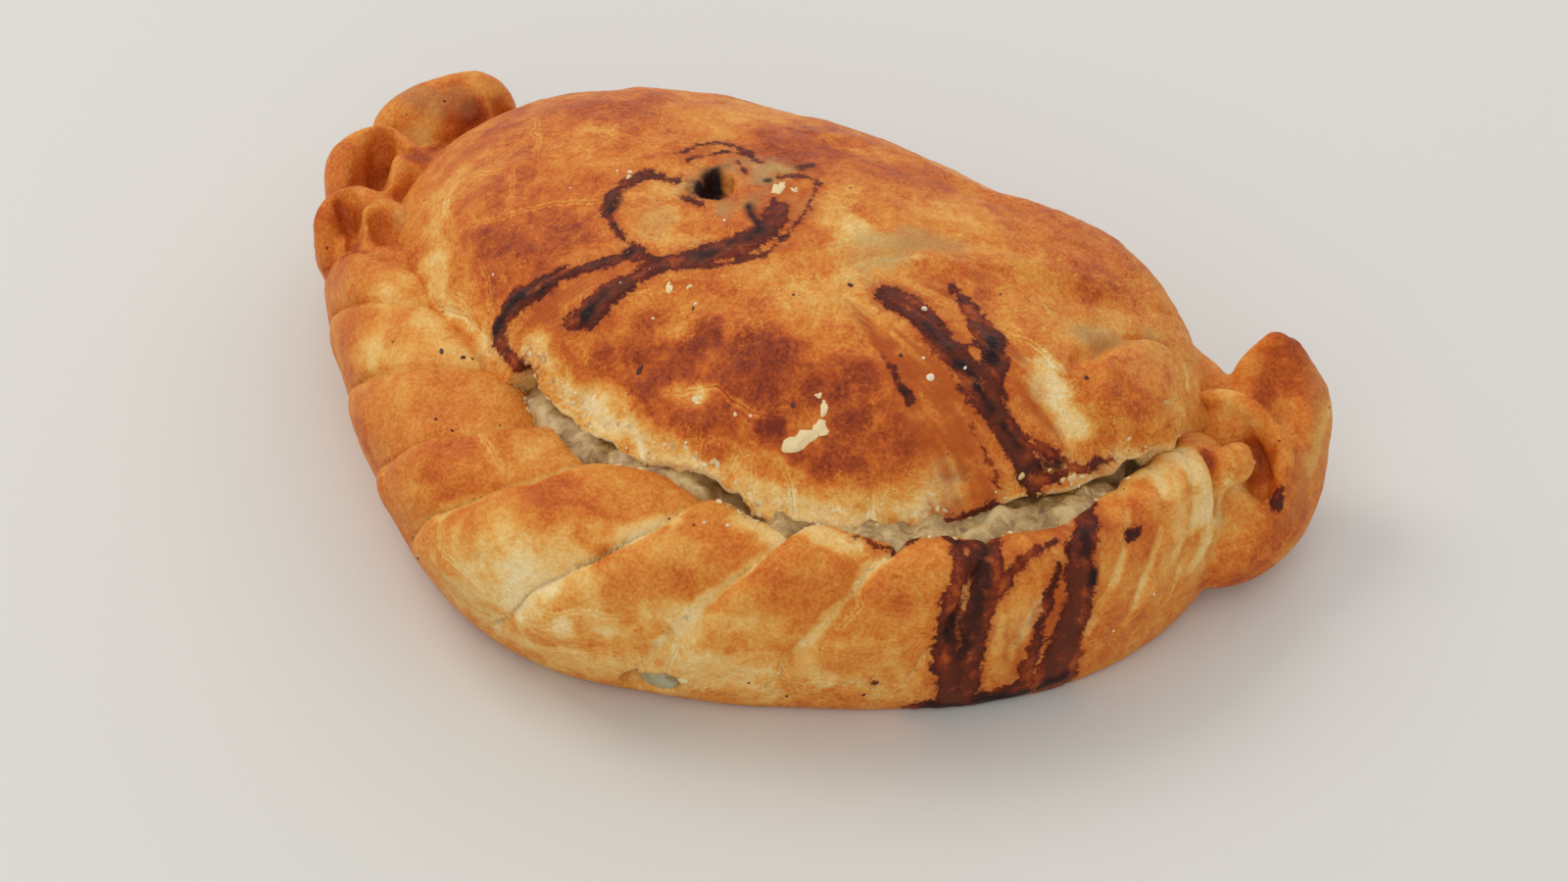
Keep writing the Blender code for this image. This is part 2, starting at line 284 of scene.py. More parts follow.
def lid_rows():
    """The lid as rows from its top, over the torn lip and under it, down to the sole."""
    angle = np.arange(COLUMNS) * 360 / COLUMNS
    turn = np.where(angle < 100, angle + 360, angle)
    gape = at_angle(CREVICE, turn)
    opened = smooth_step(0.0, 1.0, gape)
    span = reach(DOME_REACH, angle)
    ring = from_hub(reach(SEAM_REACH, turn), angle, 0 * angle)
    ragged = 0.45 * layered(ring, 7.0, 11, 3) - 0.08 * np.abs(noise(ring, 1.8, 17))
    edge = np.minimum(at_angle(LIP_REACH, turn) + ragged, span * 0.985)
    torn = np.degrees(np.arccos((edge / span) ** (1 / SHOULDER)))
    last = CLOSED_SEAM + (torn - CLOSED_SEAM) * opened
    share = np.linspace(0, 1, 300)[:, None]
    top = dome_profile(span, 90 + (last - 90) * share)
    start = top[-1]
    bend = np.linspace(0, 1, 40)[:, None] * math.pi
    thick = LIP * (1 + 0.35 * noise(ring, 5.0, 23))
    round_lip = np.stack([start[:, 0] + thick / 2 * np.sin(bend),
                          start[:, 1] - thick / 2 * (1 - np.cos(bend))], axis=-1)
    tuck = np.stack([round_lip[-1, :, 0] - OVERHANG * share,
                     round_lip[-1, :, 1] - 1.5 * share ** 2], axis=-1)
    foot = np.maximum(reach(RIM_REACH, turn) - 9.0, edge)
    ledge = np.stack([edge - 3, np.full_like(edge, LEDGE)], -1)
    low = np.linspace(0, 1, 60)[:, None]
    side = np.concatenate([
        tuck[-1] + (ledge - tuck[-1]) * low[..., None],
        np.stack([edge - 3 + (foot - edge + 3) * low, LEDGE - 15 * low ** 0.6 + 0 * edge], -1),
        np.stack([foot * (1 - low) + 0 * edge, 3 * (1 - low) ** 8 + 0.02 + 0 * edge], -1)])
    whole = []
    for count, torn_part, limits in (
            (LIP_ROWS, round_lip, (0.0, 0.04)), (TUCK_ROWS, tuck, (0.04, 0.2)),
            (SIDE_ROWS, side, (0.2, 1.0))):
        fraction = limits[0] + (limits[1] - limits[0]) * np.linspace(0, 1, 300)[:, None]
        plain_part = dome_profile(span, last + (-90 - last) * fraction)
        rows = evened(plain_part, count + 1)
        torn_rows = evened(torn_part, count + 1)
        whole.append((rows + (torn_rows - rows) * opened[:, None])[1:])
    profile = np.concatenate([evened(top, TOP_ROWS)] + whole)
    return from_hub(profile[..., 0], angle, profile[..., 1])


def points_of(data):
    place = np.empty(len(data.vertices) * 3)
    data.vertices.foreach_get("co", place)
    return place.reshape(-1, 3) / MM


def normals_of(data):
    normal = np.empty(len(data.vertices) * 3)
    data.vertices.foreach_get("normal", normal)
    return normal.reshape(-1, 3)


def set_points(data, place):
    data.vertices.foreach_set("co", (place * MM).reshape(-1))
    data.update()


def keep_field(data, name, values):
    """Stores one number at each point of the mesh under a name."""
    field = data.attributes.get(name) or data.attributes.new(name, "FLOAT", "POINT")
    field.data.foreach_set("value", np.asarray(values, np.float32))


def hub_place(place):
    """Each point's angle round the hub, from 100 to 460 degrees, and its reach."""
    angle = np.degrees(np.arctan2(place[:, 1] - HUB[1], place[:, 0] - HUB[0])) % 360
    angle = np.where(angle < 100, angle + 360, angle)
    return angle, np.hypot(place[:, 0] - HUB[0], place[:, 1] - HUB[1])


def dome_height(angle, radius):
    """The plain dome's height at an angle and a reach."""
    span = reach(DOME_REACH, angle)
    latitude = np.degrees(np.arccos(np.clip(radius / span, 0, 1) ** (1 / SHOULDER)))
    return dome_profile(span, latitude)[..., 1]


class Sheet:
    """A baked sheet: its points, how far each is pushed out, and what marks it bears."""

    MARKS = {"brown": 0.0, "cream": 0.0, "grey": 0.0, "amber": 0.0, "flaky": 0.0,
             "stain": -9.0, "char": 0.0, "crack": 9.0, "cracked": 0.0, "streak": 0.0}

    def __init__(self, data):
        self.data = data
        self.place = points_of(data)
        self.normal = normals_of(data)
        self.push = np.zeros(len(self.place))
        self.mark = {name: np.full(len(self.place), start) for name, start in self.MARKS.items()}
        self.near_tree = KDTree(len(self.place))
        for index, spot in enumerate(self.place):
            self.near_tree.insert(spot, index)
        self.near_tree.balance()
        self.cloud = layered(self.place, 5.0, 41, 3)
        angle, radius = hub_place(self.place)
        flow = np.stack([np.radians(angle) * 60, radius / 7, self.place[:, 2] / 7], -1)
        self.streak = layered(flow, 1.8, 131, 3) * smooth_step(14.0, 34.0, radius)
        self.mark["streak"] = self.streak

    def path(self, stops, wobble=0.5):
        """A fine path on the sheet. A stop is angle and reach on the dome, or with a height."""
        stops = [stop if len(stop) == 3 else (*stop, float(dome_height(*stop)))
                 for stop in stops]
        angle, radius, z = np.array(stops, float).T
        spots = from_hub(radius, angle, z)
        step = np.linalg.norm(np.diff(spots, axis=0), axis=1)
        gone = np.concatenate([[0.0], np.cumsum(step)])
        want = np.linspace(0, gone[-1], int(gone[-1] / 1.2) + 1)
        fine = np.stack([np.interp(want, gone, axis) for axis in spots.T], -1)
        if len(fine) > 2:
            fine += wobble * np.stack([layered(fine, 6.0, seed, 3) for seed in (61, 67, 71)], -1)
        return np.array([self.near_tree.find(spot)[0] for spot in fine])

    def near(self, path, within):
        """Points near a path: index, distance, distance signed by side, share of its length."""
        low, high = path.min(axis=0) - within, path.max(axis=0) + within
        index = np.nonzero(((self.place > low) & (self.place < high)).all(axis=1))[0]
        run = np.diff(path, axis=0) if len(path) > 1 else np.zeros((1, 3))
        offset = self.place[index][:, None] - path[:len(run)]
        part = np.clip((offset * run).sum(-1) / ((run ** 2).sum(-1) + 1e-9), 0, 1)
        gap = offset - part[..., None] * run
        distance = np.linalg.norm(gap, axis=-1)
        best = distance.argmin(axis=1)
        row = np.arange(len(index))
        share = (best + part[row, best]) / len(run)
        distance = distance[row, best]
        turn = (np.cross(run[best], gap[row, best]) * self.normal[index]).sum(-1)
        side = np.where(turn < 0, -1, 1) * distance
        keep = distance < within
        return index[keep], distance[keep], side[keep], share[keep]

    def sink(self, stops, radius, depth):
        """A steep-sided pit along a path, or a raised plateau if the depth is negative."""
        index, gap, _, _ = self.near(self.path(stops), 1.6 * radius)
        self.push[index] -= depth * smooth_step(1.15, 0.8, gap / radius
                                                + 0.15 * self.cloud[index])

    def crack(self, stops, width=0.35, depth=0.7, lift=0.25):
        """A split along a path. The side that lifts is its left, or its right if negative."""
        index, gap, side, share = self.near(self.path(stops), 3.0)
        taper = np.sin(np.pi * np.clip(share, 0.02, 0.98)) ** 0.5
        flake = abs(lift) * smooth_step(-0.1, 0.5, side * np.sign(lift)) * np.exp(-gap / 1.2)
        depth *= smooth_step(0.2, 0.5, width)
        self.push[index] += (0.8 * flake - depth * np.exp(-(gap / (1.5 * width)) ** 2)) * taper
        closer = gap < np.abs(self.mark["crack"][index])
        self.mark["crack"][index[closer]] = side[closer]
        faded = taper * smooth_step(2.4, 1.4, gap) * min(1.0, width / 0.35)
        self.mark["cracked"][index] = np.maximum(self.mark["cracked"][index], faded)

    def ridge(self, stops, width, height):
        """A soft fold along a path, or a soft furrow if the height is negative."""
        index, gap, _, share = self.near(self.path(stops), 3 * width)
        taper = np.sin(np.pi * np.clip(share, 0.03, 0.97)) ** 0.5 if len(stops) > 1 else 1.0
        self.push[index] += height * np.exp(-(gap / width) ** 2) * taper

    def colour(self, name, stops, radius, strength):
        """A ragged patch of one mark along a path or round a single stop."""
        index, gap, _, _ = self.near(self.path(stops), 1.5 * radius)
        ragged = gap / radius + 0.4 * self.cloud[index]
        value = strength * smooth_step(1.15, 0.1, ragged)
        if name == "amber":
            value *= np.clip(0.65 + 0.7 * self.streak[index], 0.05, 1.2)
        kept = self.mark[name][index]
        self.mark[name][index] = kept + value * np.clip(1 - kept / 1.15, 0, 1)

    def soak(self, stops, widths):
        """Juice along a path, as wide in millimetres as given from its start to its end."""
        index, gap, _, share = self.near(self.path(stops, 0.3), max(widths) / 2 + 6)
        width = np.interp(share, np.linspace(0, 1, len(widths)), widths)
        ragged = layered(self.place[index], 3.0, 53, 3) + 0.6 * self.streak[index]
        wet = width / 2 - gap + 0.35 * np.minimum(1, width / 3) * ragged
        self.mark["stain"][index] = np.maximum(self.mark["stain"][index], wet)

    def bake(self, cracks, folds, pits, juice, **patches):
        """Puts a sheet's tables on it, moves its points and stores its marks with the mesh."""
        for change, rows in ((self.crack, cracks), (self.ridge, folds), (self.sink, pits),
                             (self.soak, juice)):
            for row in rows:
                change(*row)
        for name, rows in patches.items():
            for row in rows:
                self.colour(name, *row)
        self.push += 0.22 * smooth_step(0.3, 1.2, self.mark["stain"]) * (0.6 + 0.4 * self.cloud)
        self.top = self.place + self.normal * self.push[:, None]
        set_points(self.data, self.top)
        for name, values in self.mark.items():
            keep_field(self.data, name, values)


def mesh_of(name, shape):
    """The mesh of a bmesh, which it frees."""
    data = bpy.data.meshes.new(name)
    shape.to_mesh(data)
    shape.free()
    return data


def set_tones(node, tones):
    """Lays tones, each a position and a colour, along a node's ramp."""
    stops = node.color_ramp.elements
    while len(stops) < len(tones):
        stops.new(0.5)
    for stop, (position, code) in zip(stops, tones):
        stop.position = position
        stop.color = linear(code)
    return node


def flakes(place, size, seed):
    """Thin broken layers: noise cut into terraces with sharp edges, from -1 to 1."""
    level = 2.5 * layered(place, size, seed, 3)
    return (np.floor(level) + smooth_step(0.35, 0.6, level - np.floor(level))) / 2.5


# Shortcrust brushed with egg and baked: matt cream where it tore or stayed moist, satin
# orange to brown where it caught, with fine cracks, and dark red where juice boiled over.
# Painted shade darkens its hollows, some creases and grooves, and the gaps of its cracks.
CRUST_TONES = (
    (0.00, "F2DCA8"), (0.20, "EBC073"), (0.38, "E3A04A"), (0.52, "D98330"),
    (0.66, "C8631F"), (0.82, "A54616"), (1.00, "7A2A12"),
)
JUICE_TONES = ((0.34, "AE4E18"), (0.45, "8E310C"), (0.54, "6A190C"), (0.64, "42100A"))
PLAIN = 0.52  # where crust without a mark lies along its tones
MIDDLE = {"From Min": 0.3, "From Max": 0.7}  # where most of a noise's values lie
dough, tree, shader = new_material("egg_washed_shortcrust")
spot = add_node(tree, "ShaderNodeTexCoord").outputs["Object"]
told = {name: add_node(tree, "ShaderNodeAttribute", attribute_name=name).outputs["Fac"]
        for name in Sheet.MARKS}
# Noises from broad blotches to fine grain: width in mm, layers, roughness and bend.
blotch, mottle, grain, strata, boiled = (
    add_node(tree, "ShaderNodeTexNoise", {
        "Vector": spot, "Scale": 1 / (size * MM), "Detail": detail, "Roughness": rough,
        "Distortion": bend})
    for size, detail, rough, bend in (
        (16, 5, 0.62, 0.4), (3.2, 5, 0.7, 0.6), (0.7, 3, 0.65, 0.0), (20, 8, 0.6, 0.4),
        (4, 8, 0.72, 0.3)))
toned = PLAIN
for part, most in ((told["brown"], 0.46), (told["cream"], -0.42)):
    toned = add_node(tree, "ShaderNodeMath", {0: part, 1: most, 2: toned},
                     operation="MULTIPLY_ADD")
patchy = add_node(tree, "ShaderNodeMath", {0: told["flaky"], 1: 0.6, 2: 0.45},
                  operation="MULTIPLY_ADD")
for part, most, share in ((blotch, 0.09, 1.0), (mottle, 0.14, patchy), (grain, 0.10, 1.0)):
    swing = add_node(tree, "ShaderNodeMapRange", {
        "Value": part, **MIDDLE, "To Min": -most, "To Max": most})
    toned = add_node(tree, "ShaderNodeMath", {0: swing, 1: share, 2: toned},
                     operation="MULTIPLY_ADD")

# Where the sheet is flaky it has crazed to plates and thin broken layers. Their edges baked
# paler than the skin; the thin gap between plates and the face of each step are darkened as
# painted shade. A crack has a line of painted shade, with a pale rim that is partly the paler
# torn dough and partly painted highlight.
level = add_node(tree, "ShaderNodeMath", {0: strata, 1: 9.0}, operation="MULTIPLY")
within = add_node(tree, "ShaderNodeMath", {0: level}, operation="FRACT")
off_split = add_node(tree, "ShaderNodeMath", {0: told["crack"]}, operation="ABSOLUTE")
frayed = add_node(tree, "ShaderNodeMapRange", {
    "Value": grain, **MIDDLE, "To Min": -0.25, "To Max": 0.25})
split_gap = add_node(tree, "ShaderNodeMath", {0: off_split, 1: frayed})
bent = add_node(tree, "ShaderNodeVectorMath", {
    0: mottle.outputs["Color"], 1: (6 * MM,) * 3, 2: spot}, operation="MULTIPLY_ADD")
plates = add_node(tree, "ShaderNodeTexVoronoi", {"Vector": bent, "Scale": 1 / (12 * MM)},
                  feature="DISTANCE_TO_EDGE")
edge = {
    name: add_node(tree, "ShaderNodeMapRange", {
        "Value": part, "From Min": low, "From Max": high, "To Min": start, "To Max": 1 - start})
    for name, part, low, high, start in (
        ("above", within, 0.0, 0.10, 1), ("below", within, 0.955, 0.995, 0),
        ("split", split_gap, 0.04, 0.22, 1), ("split_rim", split_gap, 0.2, 0.9, 1),
        ("crazed", plates, 0.002, 0.010, 1), ("curled", plates, 0.004, 0.05, 1),
        ("broken", blotch, 0.44, 0.54, 0), ("chipping", mottle, 0.45, 0.58, 0),
        ("crossed", told["crack"], -0.4, 0.4, 0))}
flaking, chipped = (
    add_node(tree, "ShaderNodeMath", {0: told["flaky"], 1: edge[name]}, operation="MULTIPLY",
             use_clamp=True) for name in ("broken", "chipping"))
# Rows that darken (split, crazed, below) are painted shade; rows that lighten are the pale rims.
for name, strength, shift in (
        ("split_rim", told["cracked"], -0.24), ("curled", chipped, -0.22),
        ("crazed", chipped, 0.22), ("above", flaking, -0.26), ("below", flaking, 0.22),
        ("split", told["cracked"], 0.30)):
    share = add_node(tree, "ShaderNodeMath", {0: edge[name], 1: strength}, operation="MULTIPLY")
    toned = add_node(tree, "ShaderNodeMath", {0: share, 1: shift, 2: toned},
                     operation="MULTIPLY_ADD")

# Juice: an orange halo where it soaked in, a dark rim where it dried, and inside a streaked
# syrup that lets the crust through where it is broad. It turns to speckled tar in places.
wet = told["stain"]
for part, most in ((mottle, 0.75), (grain, 0.40)):
    swing = add_node(tree, "ShaderNodeMapRange", {
        "Value": part, **MIDDLE, "To Min": -most, "To Max": most})
    wet = add_node(tree, "ShaderNodeMath", {0: swing, 1: wet})
ripple = add_node(tree, "ShaderNodeMath", {0: boiled, 1: 0.08}, operation="SUBTRACT")
for part, most in ((told["streak"], 0.12), (grain, 0.30)):
    ripple = add_node(tree, "ShaderNodeMath", {0: part, 1: most, 2: ripple},
                      operation="MULTIPLY_ADD")
from_rim = add_node(tree, "ShaderNodeMath", {
    0: add_node(tree, "ShaderNodeMath", {0: wet, 1: 0.35}, operation="SUBTRACT")},
    operation="ABSOLUTE")
juice = {
    name: add_node(tree, "ShaderNodeMapRange", {
        "Value": part, "From Min": low, "From Max": high, "To Min": least, "To Max": most})
    for name, part, low, high, least, most in (
        ("halo", wet, -2.0, 0.1, 0.0, 0.6), ("soaked", wet, -0.3, 0.35, 0.0, 0.92),
        ("broad", wet, 0.9, 1.9, 0.0, 0.8), ("deep", wet, 0.2, 0.8, 0.0, 1.0),
        ("rim", from_rim, 0.0, 0.6, 0.45, 0.0), ("clear", ripple, 0.44, 0.54, 1.0, 0.1),
        ("speckle", ripple, 0.38, 0.50, 0.35, 1.0), ("gloss", toned, 0.1, 0.8, 0.62, 0.42))}
greyed, ambered, thinned, tarred = (
    add_node(tree, "ShaderNodeMath", {0: part, 1: share}, operation="MULTIPLY", use_clamp=True)
    for part, share in ((told["grey"], 0.8), (told["amber"], 0.75),
                        (juice["clear"], juice["broad"]), (told["char"], juice["speckle"])))
skin = set_tones(add_node(tree, "ShaderNodeValToRGB", {"Fac": toned}), CRUST_TONES).outputs[0]
syrup = set_tones(add_node(tree, "ShaderNodeValToRGB", {"Fac": ripple}), JUICE_TONES)
for share, colour in (
        (greyed, linear("AE8A56")), (ambered, linear("B04E12")),
        (juice["halo"], linear("B9571B")), (juice["soaked"], syrup),
        (thinned, linear("A9551F")), (juice["rim"], linear("56140E")),
        (tarred, linear("220B08"))):
    skin = add_node(tree, "ShaderNodeMix", {0: share, 6: skin, 7: colour},
                    data_type="RGBA").outputs[2]

# Relief: the grain of the skin, steps at the plates and cracks, and a film of dry juice.
layer = add_node(tree, "ShaderNodeMath", {
    0: add_node(tree, "ShaderNodeMath", {0: level}, operation="FLOOR"), 1: edge["below"]})
layered_step, split_step = (
    add_node(tree, "ShaderNodeMath", {0: part, 1: share}, operation="MULTIPLY")
    for part, share in ((layer, flaking), (edge["crossed"], told["cracked"])))
height = grain
for part, most in ((mottle, 1.2), (layered_step, 0.35), (split_step, 0.14),
                   (edge["crazed"], -0.10), (juice["deep"], 0.4), (tarred, 0.5)):
    height = add_node(tree, "ShaderNodeMath", {0: part, 1: most, 2: height},
                      operation="MULTIPLY_ADD")
relief = add_node(tree, "ShaderNodeBump", {
    "Height": height, "Strength": 0.7, "Distance": 0.4 * MM})
sheen = add_node(tree, "ShaderNodeMix", {0: juice["deep"], 2: juice["gloss"], 3: 0.34})
feed(tree, shader, {
    "Base Color": skin, "Roughness": sheen, "Specular IOR Level": 0.16, "Normal": relief})

# What baking did to the lid. Stops are angle and reach; the rest is width, depth and lift.
LID_CRACKS = (
    (((178, 46), (180, 50), (181, 56.5), (183.5, 59.5), (188.5, 59), (195, 55.5)), 0.3, 0.3, -0.5),
    (((195, 55.5), (196, 49.5), (196, 44), (194, 37.5), (191, 30), (189, 23)), 0.3, 0.3, 0.25),
    (((180, 50), (185, 46.5), (189, 45), (196, 44)), 0.25, 0.3, 0.3),
    (((163, 60), (163.5, 55.5), (170, 50), (177.5, 46)), 0.3, 0.4, 0.3),
    (((162, 47), (159, 40), (156, 35)), 0.25, 0.3, 0.25),
    (((277, 36), (284, 35.5), (293, 35.5), (301, 40), (309, 43)), 0.35, 0.5, 0.3),
    (((246, 38), (249, 40), (250, 42)), 0.4, 0.8, 0.3),
    (((258, 38), (257, 40), (257, 42)), 0.4, 0.8, 0.3),
    (((290, 40), (290, 45)), 0.4, 0.8, 0.3),
    (((302, 46), (303, 52)), 0.4, 0.8, 0.3),
    (((308, 49), (309, 55)), 0.4, 0.8, 0.3),
    (((322, 57), (321, 61)), 0.4, 0.8, 0.3),
    (((3, 50), (4, 56), (3, 61), (2, 66)), 0.35, 0.4, 0.3),
    (((17, 34), (15, 28.5), (12, 23.5), (0, 22), (353, 23)), 0.35, 0.5, 0.3),
    (((202, 58), (206, 56), (213, 51), (219, 48), (227, 46)), 0.5, 0.7, 0.4),
    (((204, 48), (213, 46), (220, 45)), 0.3, 0.4, 0.3),
    (((206, 53), (211, 50), (217, 50)), 0.3, 0.4, 0.3),
    (((98, 46), (85, 47), (75, 47), (66, 49)), 0.25, 0.3, 0.2),
    (((99, 35), (92, 33), (84, 35)), 0.2, 0.25, 0.15),
    (((130, 38), (122, 40), (112, 38), (104, 42)), 0.25, 0.3, 0.25),
    (((238, 25), (246, 26), (252, 23), (262, 24)), 0.2, 0.25, 0.2),
)
LID_FOLDS = (  # stops, width, height
    (((274, 23), (292, 24), (306, 26)), 2.2, 0.6),
    (((104, 31), (88, 41), (74, 42), (63, 46), (54, 51), (48, 57), (38, 60)), 3.0, 0.9),
    (((22, 42), (24, 50), (26, 59), (27, 68)), 2.4, 1.0),
    (((19, 44), (21, 52), (22.5, 60), (23, 68)), 2.0, -0.8),
    (((3, 63), (7, 63.5), (11, 65), (15, 67.5), (19, 72), (22, 78)), 1.3, -1.8),
    (((10, 74),), 6.5, 1.6), (((50, 60), (42, 66), (34, 72), (27, 78)), 7.0, 2.2),
    (((32, 50), (30, 58), (28, 66)), 1.8, 0.7), (((46, 46), (36, 50), (30, 56)), 1.4, -0.6),
    (((104, 36), (90, 38), (76, 38)), 2.0, 0.5), (((60, 44), (50, 48), (42, 52)), 1.6, -0.5),
    (((188, 52),), 6.0, 0.5), (((300, 33),), 10.0, 0.8), (((230, 30),), 12.0, 0.8),
    (((207, 42),), 9.0, 0.5), (((325, 50),), 7.0, 0.5), (((349, 58),), 9.0, -0.7),
    (((355, 42),), 6.0, -0.6), (((6, 27), (11, 29), (17, 32), (19, 38), (17, 42)), 1.6, 0.7),
    (((9, 22), (14, 26), (20, 31)), 2.0, -0.5), (((358.5, 41), (358, 46), (353, 51)), 1.2, 0.4),
    (((112, 17), (95, 16)), 1.6, 0.6),
)
LID_PITS = (  # stops, radius, depth: a blister, raised, and the vent
    (((8.5, 73.5), (12, 75)), 8.8, -3.2), (((141, 14.5), (148, 12)), 3.0, 3.4),
)
LID_BROWN_AND_SHADE = (  # stops, radius and strength, as in each table of patches
    (((268, 32), (285, 33), (300, 36), (316, 40)), 12, 0.34), (((322, 50),), 9, 0.3),
    (((205, 40), (195, 36)), 16, 0.22), (((150, 50),), 22, 0.16), (((245, 30),), 9, 0.2),
    (((207, 42), (212, 36)), 9.5, 0.26), (((205, 33),), 8, 0.2), (((208, 46),), 6, 0.24),
    (((17, 40), (18, 48)), 7, 0.3), (((10, 34),), 4, 0.3), (((30, 40), (34, 52)), 8, 0.1),
    (((222, 36), (228, 38)), 5, 0.3), (((178, 45),), 10, 0.2), (((158, 27),), 4.0, 0.4),
    (((145, 49), (128, 49)), 8, 0.25), (((100, 40), (86, 42)), 9, 0.3),
    (((247, 33), (254, 32)), 7.5, 0.28), (((240, 37),), 6, 0.25), (((224, 34), (223, 38)), 4, 0.6),
    (((269, 31.5), (278, 33)), 6.5, 0.62), (((283, 28),), 5.5, 0.26), (((268, 37),), 5, 0.3),
    (((298, 31), (306, 34)), 8.5, 0.52), (((315, 36), (324, 39)), 9, 0.46),
    (((288, 39), (296, 40)), 5.5, 0.36), (((306.5, 43.5),), 3.8, 0.75),
    (((322, 48), (328, 51)), 8, 0.5), (((312, 48),), 5.5, 0.8), (((329, 43),), 8, 0.38),
    (((316, 52),), 7, 0.3), (((255, 36),), 6, 0.3), (((277, 38),), 7, 0.3),
    (((8.5, 53.5),), 7, 0.5), (((10.3, 43.8),), 4, 0.45), (((110, 27), (95, 29)), 10, 0.6),
    # Painted shade: the next row is a dark stripe along the groove where the tab meets the lid.
    (((172, 78, 31), (161, 86, 24), (154, 87, 25)), 3.0, 0.9),
    (((153, 57),), 9, 0.25), (((188, 53),), 8.5, 0.12), (((168, 62), (160, 66)), 9, 0.28),
    (((9, 72),), 9, 0.26), (((14, 78),), 5, 0.45), (((26, 55), (27, 66)), 6, 0.25),
    (((275, 32),), 5, 0.25), (((75, 32), (60, 36)), 12, 0.16), (((12, 45), (20, 58)), 9, 0.2),
    (((275, 16), (262, 17)), 4, 0.3), (((338, 55), (343, 62)), 7, 0.3),
    (((210, 58), (196, 64)), 6, 0.2), (((70, 38), (60, 42)), 8, 0.22),
    (((120, 58),), 16, 0.2), (((50, 52),), 10, 0.15), (((300, 52), (310, 56)), 4, 0.25),
)
LID_CREAM = (
    (((236, 41), (243, 40), (253, 40), (265, 40.5), (280, 43), (292, 46)), 5.0, 1.0),
    (((299, 49), (313, 56), (324, 60), (332, 62)), 5.5, 0.85), (((336, 60),), 5, 0.7),
    (((35, 17), (60, 18)), 7, 0.5), (((330, 24), (345, 26)), 9, 0.3), (((288, 36.5),), 3, 1.0),
    (((255, 8), (262, 12), (254, 16)), 4, 0.5), (((185, 15), (205, 14)), 7, 0.5),
    (((112, 17), (95, 16)), 2.5, 1.0), (((0, 46), (357, 50)), 2.2, 0.95),
    (((2, 58), (358, 62), (357, 69)), 4.2, 1.0), (((11, 56), (6, 52)), 9, 0.35),
    (((15, 47),), 9, 0.3), (((352, 72), (357, 75)), 3, 0.8), (((40, 40),), 9, 0.2),
    (((180, 60), (193, 60)), 4, 0.4), (((198, 58), (208, 54), (218, 49), (228, 45)), 4.5, 0.7),
    (((22, 20), (10, 22)), 9, 0.4), (((168, 40), (160, 44)), 5, 0.3),
    (((290, 12), (320, 14)), 8, 0.25), (((16, 80), (20, 78)), 3, 0.8), (((0, 78),), 4, 0.5),
)
LID_GREY = (
    (((7, 21.5), (23, 24.5), (29, 31), (26, 39)), 4.5, 0.6), (((127, 15), (120, 19.5)), 4, 0.9),
    (((6, 24), (12, 27), (20, 30)), 3.6, 0.55), (((0, 25), (355, 27)), 2.5, 0.4),
    (((14, 62), (16, 66)), 4.2, 0.7), (((20, 74),), 3, 0.6), (((118, 15), (104, 15)), 4.5, 0.9),
    (((165, 6), (120, 6)), 3.4, 0.8), (((150, 17), (160, 15)), 3, 0.4),
    (((185, 17), (200, 16)), 5, 0.35), (((215, 53), (224, 48)), 2.5, 0.5),
)
LID_AMBER = (
    (((236, 21), (233, 26), (230, 33), (226, 39)), 3.6, 1.1), (((70, 12), (56, 11)), 4, 0.9),
    (((227, 42), (231, 43)), 2.6, 1.0), (((355, 30), (359, 34), (5, 39)), 6.5, 1.1),
    (((352, 36), (348, 43), (344, 50), (341, 58)), 6.5, 0.9), (((356, 44), (354, 48)), 5, 1.1),
    (((344, 55), (342, 60), (341, 65)), 5.5, 1.0), (((339, 48), (338, 55)), 4, 0.8),
    (((343.2, 27.5), (340, 34.5), (337.5, 40.6), (335.8, 46.4)), 2.4, 1.2),
    (((335.8, 46.4), (335.7, 53.7), (337, 57.6), (337.7, 62)), 3.0, 1.1),
    (((345, 50), (343, 57), (342, 64)), 4.6, 1.2), (((359.4, 53.5), (353.6, 62.3), (351.7, 69)), 2.6, 1.0),
    (((334, 56), (334, 62)), 4.5, 0.7), (((17, 41), (12, 43), (6, 46)), 2.4, 0.9),
    (((136, 27), (148, 26)), 2.6, 1.0), (((318, 60), (330, 63.5), (340, 66.5)), 2.2, 1.1),
    (((351, 71.5), (357, 75.5)), 2.0, 1.0), (((173, 13),), 2.4, 1.2), (((150, 8), (100, 8)), 3, 0.3),
    (((262, 9), (248, 14)), 3.4, 1.0), (((54, 10), (30, 10)), 3.0, 0.8),
)
